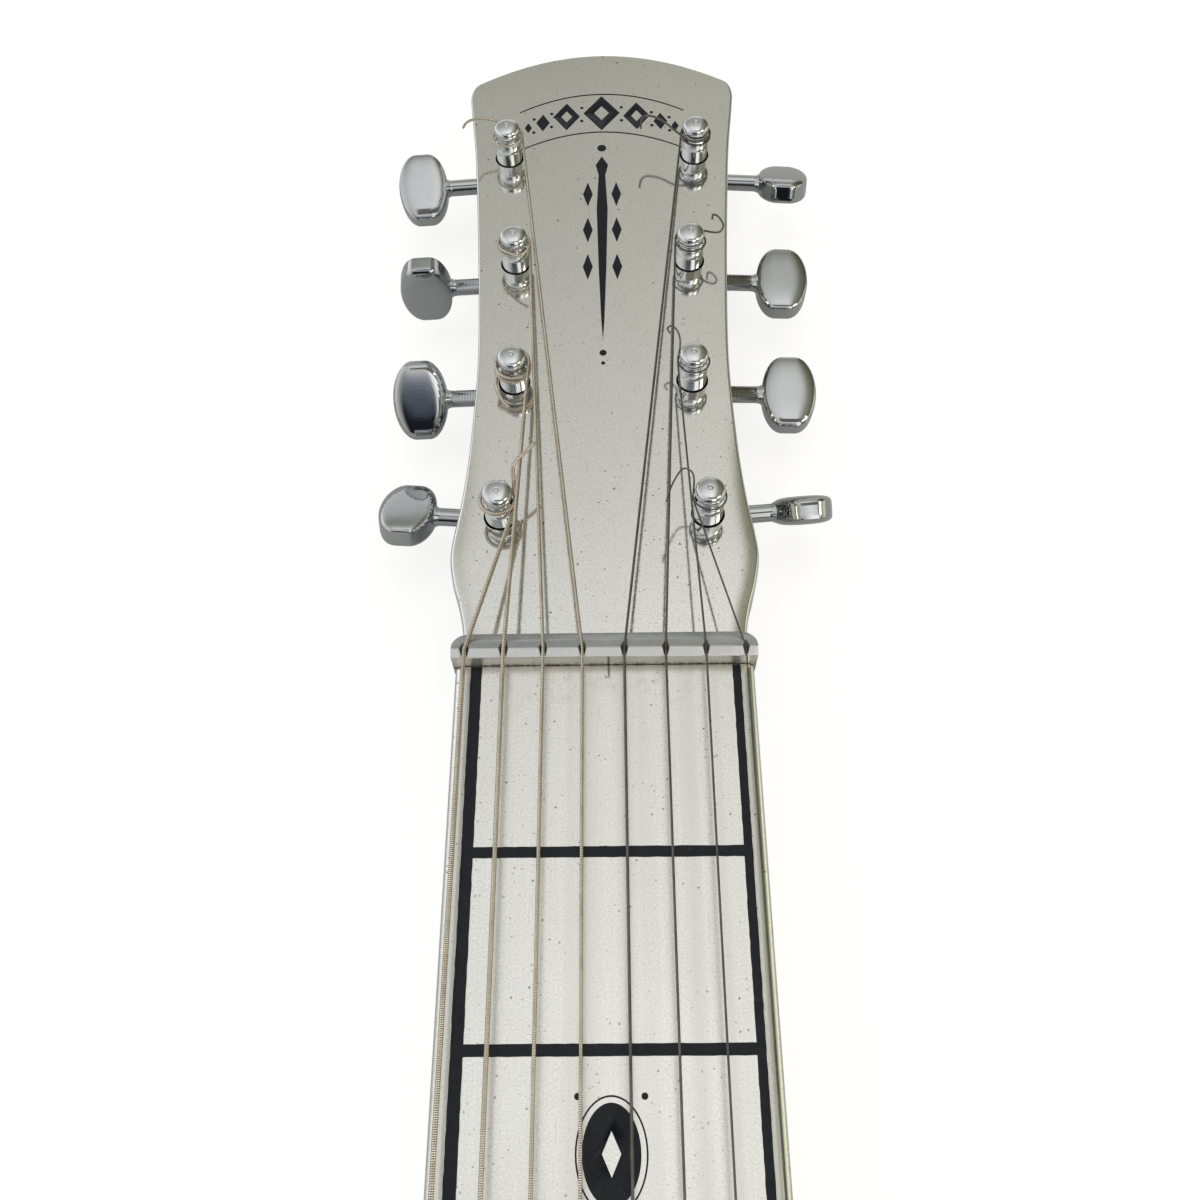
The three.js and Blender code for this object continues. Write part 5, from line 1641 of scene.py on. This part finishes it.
# %% The housing's screws
def slotted_head(name, radius, height, slot, turn):
    """A domed screw head that stands on z = 0 and looks up, with a slot in it."""
    dome = [(0, -0.4), (radius * 0.9, -0.4), (radius, -0.1), (radius, height * 0.3),
            (radius * 0.92, height * 0.62), (radius * 0.7, height * 0.86), (radius * 0.35, height * 0.97),
            (0, height)]
    head = turned(name, dome, 28)
    reach = radius * 1.2
    carve(head, [sharp_block("slot", -reach, reach, -slot / 2, slot / 2, height * 0.45, height * 2)])
    return shade(swung(head, turn, "Z"), 30)


def housing_screws():
    heads = []
    for i, (x, y) in enumerate(HOUSING_SCREWS):
        head = slotted_head("housing_screw", 1.5, 0.85, 0.42, 0.7 + 1.3 * i)
        heads.append(moved(swung(head, math.pi, "X"), x, y, KEY_Z - HOUSING_DEPTH + 0.45))
    return joined(heads, "housing_screws")


screws = housing_screws()
print("its two screws, faces:", faces_of(screws))

# %% [markdown]
# A tuner is modelled for the right side. Its post, housing and screws are copied to all eight places, and
# mirrored on the left. Each key is built anew, because every button stands at its own angle.

# %% Eight tuners in place
for name, side, row, x, y, fan in post_places():
    hand = name.split("_")[0]
    fresh_post = placed(copied(post, "post"), f"post_{name}", side, x, y, fan)
    dress(fresh_post, POST_CHROME_PAINTED_LIGHTER, f"post_{name}", [f"tuner_post_{name}"])
    key = placed(build_key(BUTTON_TURNS[hand][row - 1], name in RIBBED), f"key_{name}", side, x, y, fan)
    dress(key, CHROME, f"key_{name}", [f"tuner_key_{name}"])
    shell = placed(copied(housing, "housing"), f"housing_{name}", side, x, y, fan)
    dress(shell, CHROME, nodes=[f"tuner_housing_{name}"])
    dress(placed(copied(screws, "screws"), f"housing_screws_{name}", side, x, y, fan), STEEL)
for pattern in (post, housing, screws):
    bpy.data.objects.remove(pattern)
print("tuners placed:", 2 * len(POST_ROWS), "a key has", faces_of(key), "faces")

# %% [markdown]
# The round body carries the pickup, the bridge, two controls and the jack. The pickup is a chromed frame
# round a black bobbin, with one steel blade under all eight strings and the coil between the bobbin's
# flanges. The frame's rim is eased broadly, because a sharp rim would catch on picks and sleeves.

# %% The pickup's frame, bobbin, coil, blade and magnet
PAN_TOP = 36
PICKUP_TOP = 44.6
SCREW_SEAT = 3.0


def centred_plate(name, width, length, corner, low, high, edge=0.0):
    """A closed plate with round corners, set about the pickup's middle."""
    half, reach = width / 2, length / 2
    return close(rounded_block(
        name, -half, half, PICKUP_Y - reach, PICKUP_Y + reach, low, high, corner, edge, steps=8))


def pickup_frame():
    shape = centred_plate("pickup_cover", 94, 38, 6, PAN_TOP + 0.3, PICKUP_TOP, edge=1.6)
    carve(shape, [centred_plate("window", *PICKUP_HOLE, 1.2, UNDER_TOP, ABOVE_ALL)])
    carve(shape, [upright_bore(PICKUP_SCREW_BORE, x, PICKUP_Y, UNDER_TOP) for x in PICKUP_SCREWS_X])
    carve(shape, [upright_bore(SCREW_SEAT, x, PICKUP_Y, PICKUP_TOP - 2) for x in PICKUP_SCREWS_X])
    return eased(shape, 0.25, 3)


def bobbin():
    low_flange = centred_plate("bobbin", 71, 23, 4, 29, 31)
    top_flange = centred_plate("flange", 71, 23, 4, 43, 45, edge=0.5)
    core = centred_plate("core", 65, 7, 1, 30.5, 43.5)
    weld(low_flange, core)
    weld(low_flange, top_flange)
    blade_way = sharp_block("slot", -30.8, 30.8, PICKUP_Y - 1.8, PICKUP_Y + 1.8, 20, ABOVE_ALL)
    carve(low_flange, [blade_way])
    return shade(low_flange, 30)


def coil():
    winding = centred_plate("coil", 69, 21, 5, 31.3, 42.7)
    reopen(winding)
    upright_edges(winding)
    bpy.ops.mesh.subdivide(number_cuts=9)
    bpy.ops.object.mode_set(mode="OBJECT")
    carve(winding, [centred_plate("core_way", 65.6, 7.6, 1, 20, ABOVE_ALL)])
    return shade(winding, 30)


def blade():
    bar = close(block("blade", -30.5, 30.5, PICKUP_Y - 1.5, PICKUP_Y + 1.5, 27, 46))
    return eased(bar, 0.3, 3)


def magnet():
    return eased(close(block("magnet", -30, 30, PICKUP_Y - 8, PICKUP_Y + 8, 20.7, 26.7)), 0.5, 2)


dress(pickup_frame(), CHROME, nodes=["pickup_frame"])
dress(bobbin(), PLASTIC, nodes=["pickup_bobbin"])
dress(coil(), COPPER, nodes=["pickup_coil"])
dress(blade(), STEEL, nodes=["pickup_blade"])
dress(magnet(), STEEL, nodes=["pickup_magnet"])
print("pickup made, its top in mm:", PICKUP_TOP)

# %% Whole screws, and the two that hold the pickup
def machine_screw(name, head_radius, head_height, shank_radius, length, turn):
    """A whole screw that points down, its head's underside at z = 0, with turned thread rings."""
    profile = [(0, -length), (shank_radius * 0.55, -length), (shank_radius * 0.9, -length + 0.5)]
    profile += ridges(-length + 0.6, -0.6, 0.5, shank_radius, shank_radius * 0.82, 0.25)
    profile += [(shank_radius * 0.9, -0.3), (shank_radius * 0.9, 0.05), (0, 0.05)]
    shank = turned(name, profile, 20, smooth=25)
    head = moved(slotted_head("head", head_radius, head_height, head_radius * 0.26, turn), 0, 0, 0.4)
    carve(head, [sharp_block("trim", -9, 9, -9, 9, -9, 0)])
    weld(shank, head)
    return shade(shank, 25)


for number, x in enumerate(PICKUP_SCREWS_X, 1):
    screw = machine_screw(f"pickup_fixing_{number}", 2.6, 1.2, 1.15, 9, 0.4 + number)
    dress(moved(screw, x, PICKUP_Y, PICKUP_TOP - 1.7), STEEL, nodes=[f"pickup_screw_{number}"])
print("one pickup screw, faces:", faces_of(screw))

# %% [markdown]
# The bridge is a chromed plate with a raised seat for the steel saddle bar and a slotted lip that holds
# the strings' ball ends. Each ball end is a small brass ferrule that sits behind its slot, so the
# strings visibly end in something.

# %% The bridge plate
PLATE_LOW, PLATE_TOP = PAN_TOP + 0.3, PAN_TOP + 2.8
LIP_TOP = 45.5
LIP_THICK = 3
SLOT_HALF = 0.95


def bridge_plate():
    plate = rounded_block("bridge", -39, 39, BRIDGE_Y - 34, BRIDGE_Y + 12, PLATE_LOW, PLATE_TOP, 5, 0.7, 8)
    close(plate)
    seat = close(block("seat", -33, 33, BRIDGE_Y - 5, BRIDGE_Y + 5, PLATE_TOP - 0.5, SADDLE_Z - 0.5))
    weld(plate, seat)
    back = BRIDGE_Y + LIP_Y
    lip = block("lip", -34, 34, back, back + LIP_THICK, PLATE_TOP - 0.5, LIP_TOP)
    top = (LIP_TOP - 0.1) * MM
    pick(lip, "EDGE", lambda e: all(v.co.z > top for v in e.verts) and
         abs(e.verts[0].co.x - e.verts[1].co.x) > 0.01)
    bpy.ops.mesh.bevel(offset=1.0 * MM, segments=4)
    weld(plate, close(lip))
    ends = [(x, BRIDGE_Y, SADDLE_Z) for x in (-40, 40)]
    carve(plate, [rod("groove", SADDLE_RADIUS + 0.3, *ends, 40)])
    slots = []
    for x in (saddle_x(index) for index in range(len(WINDINGS))):
        slots.append(sharp_block("slot", x - SLOT_HALF, x + SLOT_HALF, back - 1, back + LIP_THICK + 1,
                                 SLOT_FLOOR, ABOVE_ALL))
    carve(plate, slots)
    carve(plate, [upright_bore(PLATE_SCREW_BORE, x, BRIDGE_Y + y, UNDER_TOP, sides=24)
                  for x, y in PLATE_SCREWS])
    return eased(plate, 0.2, 2)


plate = dress(bridge_plate(), CHROME, nodes=["bridge_plate"])
print("bridge plate, faces:", faces_of(plate))

# %% The saddle, the ball ends and the bridge's screws
def saddle_bar():
    profile = [(0, -32.5), (2.6, -32.5), (2.9, -32.35), (3, -32.1), (3, 32.1), (2.9, 32.35), (2.6, 32.5),
               (0, 32.5)]
    return moved(swung(turned("saddle_bar", profile, 48), math.pi / 2, "Y"), 0, BRIDGE_Y, SADDLE_Z)


def ball_ends():
    profile = [(0.4, -1.9), (1.5, -1.9), (1.85, -1.6), (1.9, -1.2), (1.25, -0.6), (1.25, 0.6),
               (1.9, 1.2), (1.85, 1.6), (1.5, 1.9), (0.4, 1.9), (0.4, -1.9)]
    first = swung(turned("ball_end", profile, 24), math.pi / 2, "Y")
    behind, height = BRIDGE_Y + LIP_Y - 4.6, SLOT_FLOOR + 1.6
    balls = [copied(first, "ball", (saddle_x(i), behind, height)) for i in range(len(WINDINGS))]
    bpy.data.objects.remove(first)
    return joined(balls, "ball_ends")


dress(saddle_bar(), STEEL, nodes=["bridge_saddle"])
dress(ball_ends(), BRASS)
for number, (x, y) in enumerate(PLATE_SCREWS, 1):
    screw = machine_screw(f"bridge_fixing_{number}", 2.9, 1.35, 1.35, 8, 0.9 * number)
    moved(screw, x, BRIDGE_Y + y, PLATE_TOP + 0.3)
    dress(screw, STEEL, nodes=[f"bridge_plate_screw_{number}"])
print("one bridge screw, faces:", faces_of(screw))

# %% [markdown]
# Each control is a black fluted knob on a brass shaft, over a potentiometer that hangs under the top. The
# flutes are cut with rods set round the skirt, and a white line on the top shows where the knob points.
# The line and the knob ride on the control's own body, so they turn together.

# %% A knob and its pointer
KNOB_LOW, KNOB_HIGH = PAN_TOP + 3.6, PAN_TOP + 17.6
FLUTES = 20


def knob(x, y):
    low, high = KNOB_LOW, KNOB_HIGH
    profile = [(0, low), (11.2, low), (11.5, low + 0.3), (11.5, low + 1.6), (11.3, low + 2.0),
               (10.4, low + 2.5), (10.0, low + 3.0), (9.5, high - 2.2), (9.3, high - 1.3), (8.8, high - 0.6),
               (8.0, high - 0.15), (7.2, high), (6.8, high - 0.12), (3, high - 0.3), (0, high - 0.35)]
    shape = turned("knob", profile, 80)
    tools = []
    for i in range(FLUTES):
        angle = math.tau * i / FLUTES
        at = (10.5 * math.cos(angle), 10.5 * math.sin(angle))
        tools.append(rod("flute", 1.05, (*at, low + 3.1), (at[0] * 0.95, at[1] * 0.95, high + 1), 14))
    carve(shape, tools)
    carve(shape, [upright_bore(3.3, 0, 0, low - 2, PAN_TOP + 12.3)])
    return moved(shade(shape, 35), x, PAN_Y + y, 0)


def knob_pointer(x, y):
    line = close(block("pointer", x + 1.5, x + 8.0, PAN_Y + y - 0.45, PAN_Y + y + 0.45,
                       KNOB_HIGH - 0.4, KNOB_HIGH))
    return eased(line, 0.12, 2)


def pointer_finish():
    f = Finish("filled_white_line", (0.78, 0.77, 0.73), roughness=0.5)
    f.tint(f.levels(f.noise(1.2, 3), 0.5, 0.7, 0, 0.5), (0.55, 0.52, 0.46))
    return f.done()


POINTER = pointer_finish()
print("a knob stands", round(KNOB_HIGH - KNOB_LOW, 1), "mm tall and has", FLUTES, "flutes")

# %% A potentiometer with its nut and shaft
def pot(x, y):
    under = PAN_TOP - 3.3
    can = [(0, under - 10), (11.2, under - 10), (11.8, under - 9.6), (12, under - 8.8), (12, under - 0.8),
           (11.7, under - 0.2), (11.2, under), (4.4, under), (4.4, under + 0.6)]
    can += ridges(under + 0.7, PAN_TOP + 2.6, 0.44, 4.4, 4.15, 0.22)
    can += [(4.2, PAN_TOP + 3), (0, PAN_TOP + 3)]
    shape = turned("pot", can, 48, at=(x, PAN_Y + y), smooth=25)
    carve(shape, [upright_bore(3.3, x, PAN_Y + y, under - 7)])
    return shade(shape, 25)


def hexagon_nut(name, across, thick, bore):
    """A six-sided nut on z = 0 with its corners turned off."""
    nut = rod(name, across, (0, 0, 0), (0, 0, thick), 6)
    cone = turned("cone", [(0, 0), (across * 0.92, 0), (across * 1.02, 0.35), (across * 1.02, thick - 0.35),
                           (across * 0.92, thick), (0, thick)], 48)
    carve(nut, [cone], "INTERSECT")
    carve(nut, [rod("bore", bore, (0, 0, -1), (0, 0, thick + 1), 32)])
    return shade(nut, 25)


def pot_nut(x, y):
    return moved(hexagon_nut("pot_nut", 6.9, 1.9, 4.45), x, PAN_Y + y, PAN_TOP + 0.05)


def control_shaft(x, y):
    low, high = PAN_TOP - 10, PAN_TOP + 12
    profile = [(0, low), (2.8, low), (3, low + 0.2), (3, high - 0.5), (2.6, high), (0, high)]
    return turned("shaft", profile, 32, at=(x, PAN_Y + y))


print("the shaft ends", round(KNOB_HIGH - PAN_TOP - 12, 1), "mm under the knob's top")

# %% The two controls in place
for name, (x, y) in CONTROLS.items():
    body = f"{name}_control"
    dress(knob(x, y), PLASTIC, body, [f"{name}_knob"]).name = f"knob_{name}"
    dress(knob_pointer(x, y), POINTER, body).name = f"pointer_{name}"
    dress(control_shaft(x, y), BRASS, body, [f"{name}_shaft"]).name = f"spindle_{name}"
    dress(pot(x, y), STEEL, nodes=[f"{name}_pot"]).name = f"potentiometer_{name}"
    dress(pot_nut(x, y), CHROME).name = f"pot_nut_{name}"
print("controls:", list(CONTROLS))

# %% [markdown]
# What is left closes the round body: the waxed paper capacitor between the potentiometers, the jack in
# its recess with a nut outside, and the back cover with three screws. The capacitor, jack and nut are
# turned upright, as on a lathe, and then laid down where they belong.

# %% The capacitor
CAPACITOR_AT = (76, -8, 17)


def capacitor():
    half = 8.5
    profile = [(0, -half), (2.2, -half), (3.0, -half + 0.4), (3.4, -half + 1.2), (3.4, half - 1.2),
               (3.0, half - 0.4), (2.2, half), (0, half)]
    x, y, z = CAPACITOR_AT
    return moved(swung(turned("capacitor", profile, 32), math.pi / 2, "X"), x, PAN_Y + y, z)


dress(capacitor(), WAX, nodes=["tone_capacitor"]).name = "paper_capacitor"
print("capacitor at:", CAPACITOR_AT)

# %% The jack and its nut
JACK_MOUTH, JACK_INNER, JACK_NUT_AT = 101.6, 88.5, 99.9


def laid_on_jack_line(shape, distance):
    """Turns an upright piece to look inwards along +Y, that far from the round body's middle."""
    return moved(swung(shape, -math.pi / 2, "X"), JACK_X, PAN_Y - distance, JACK_Z)


def jack():
    """The jack's threaded sleeve and shell, along +Y from its mouth."""
    profile = [(3.3, 0), (4.0, 0), (4.3, 0.25)]
    start = JACK_MOUTH - JACK_INNER + 0.3
    profile += ridges(0.4, start - 0.4, 0.5, 4.6, 4.35, 0.25)
    profile += [(4.5, start), (7.6, start), (8, start + 0.4), (8, start + 19.0), (7.4, start + 19.7),
                (0, start + 19.7), (0, start + 15.7), (3.3, start + 15.7), (3.3, 0)]
    return laid_on_jack_line(turned("jack", profile, 40, smooth=25), JACK_MOUTH)


dress(jack(), STEEL, nodes=["output_jack"]).name = "jack_socket"
jack_ring = laid_on_jack_line(hexagon_nut("jack_nut_ring", 7.6, 2.6, JACK_BORE), JACK_NUT_AT)
dress(jack_ring, CHROME, nodes=["jack_nut"])
print("jack's nut, faces:", faces_of(jack_ring))

# %% The back cover and its screws
COVER_RADIUS = 110


def back_plate():
    edge = COVER_RADIUS
    profile = [(0, 2.2), (edge - 0.8, 2.2), (edge - 0.2, 2.45), (edge, 2.9), (edge, 3.9), (edge - 0.2, 4.2),
               (0, 4.2)]
    plate = turned("back_plate", profile, 144, at=(0, PAN_Y))
    carve(plate, [upright_bore(COVER_SCREW_BORE, x, y, 0, 9, 24) for x, y in cover_screw_places()])
    return shade(plate, 15)


dress(back_plate(), SHEET, nodes=["back_cover"])
for number, (x, y) in enumerate(cover_screw_places(), 1):
    screw = machine_screw(f"cover_fixing_{number}", 3.3, 1.2, 1.45, 8, 1.1 * number)
    moved(swung(screw, math.pi, "X"), x, y, 2.05)
    dress(screw, STEEL, nodes=[f"back_cover_screw_{number}"])
print("one cover screw, faces:", faces_of(screw))
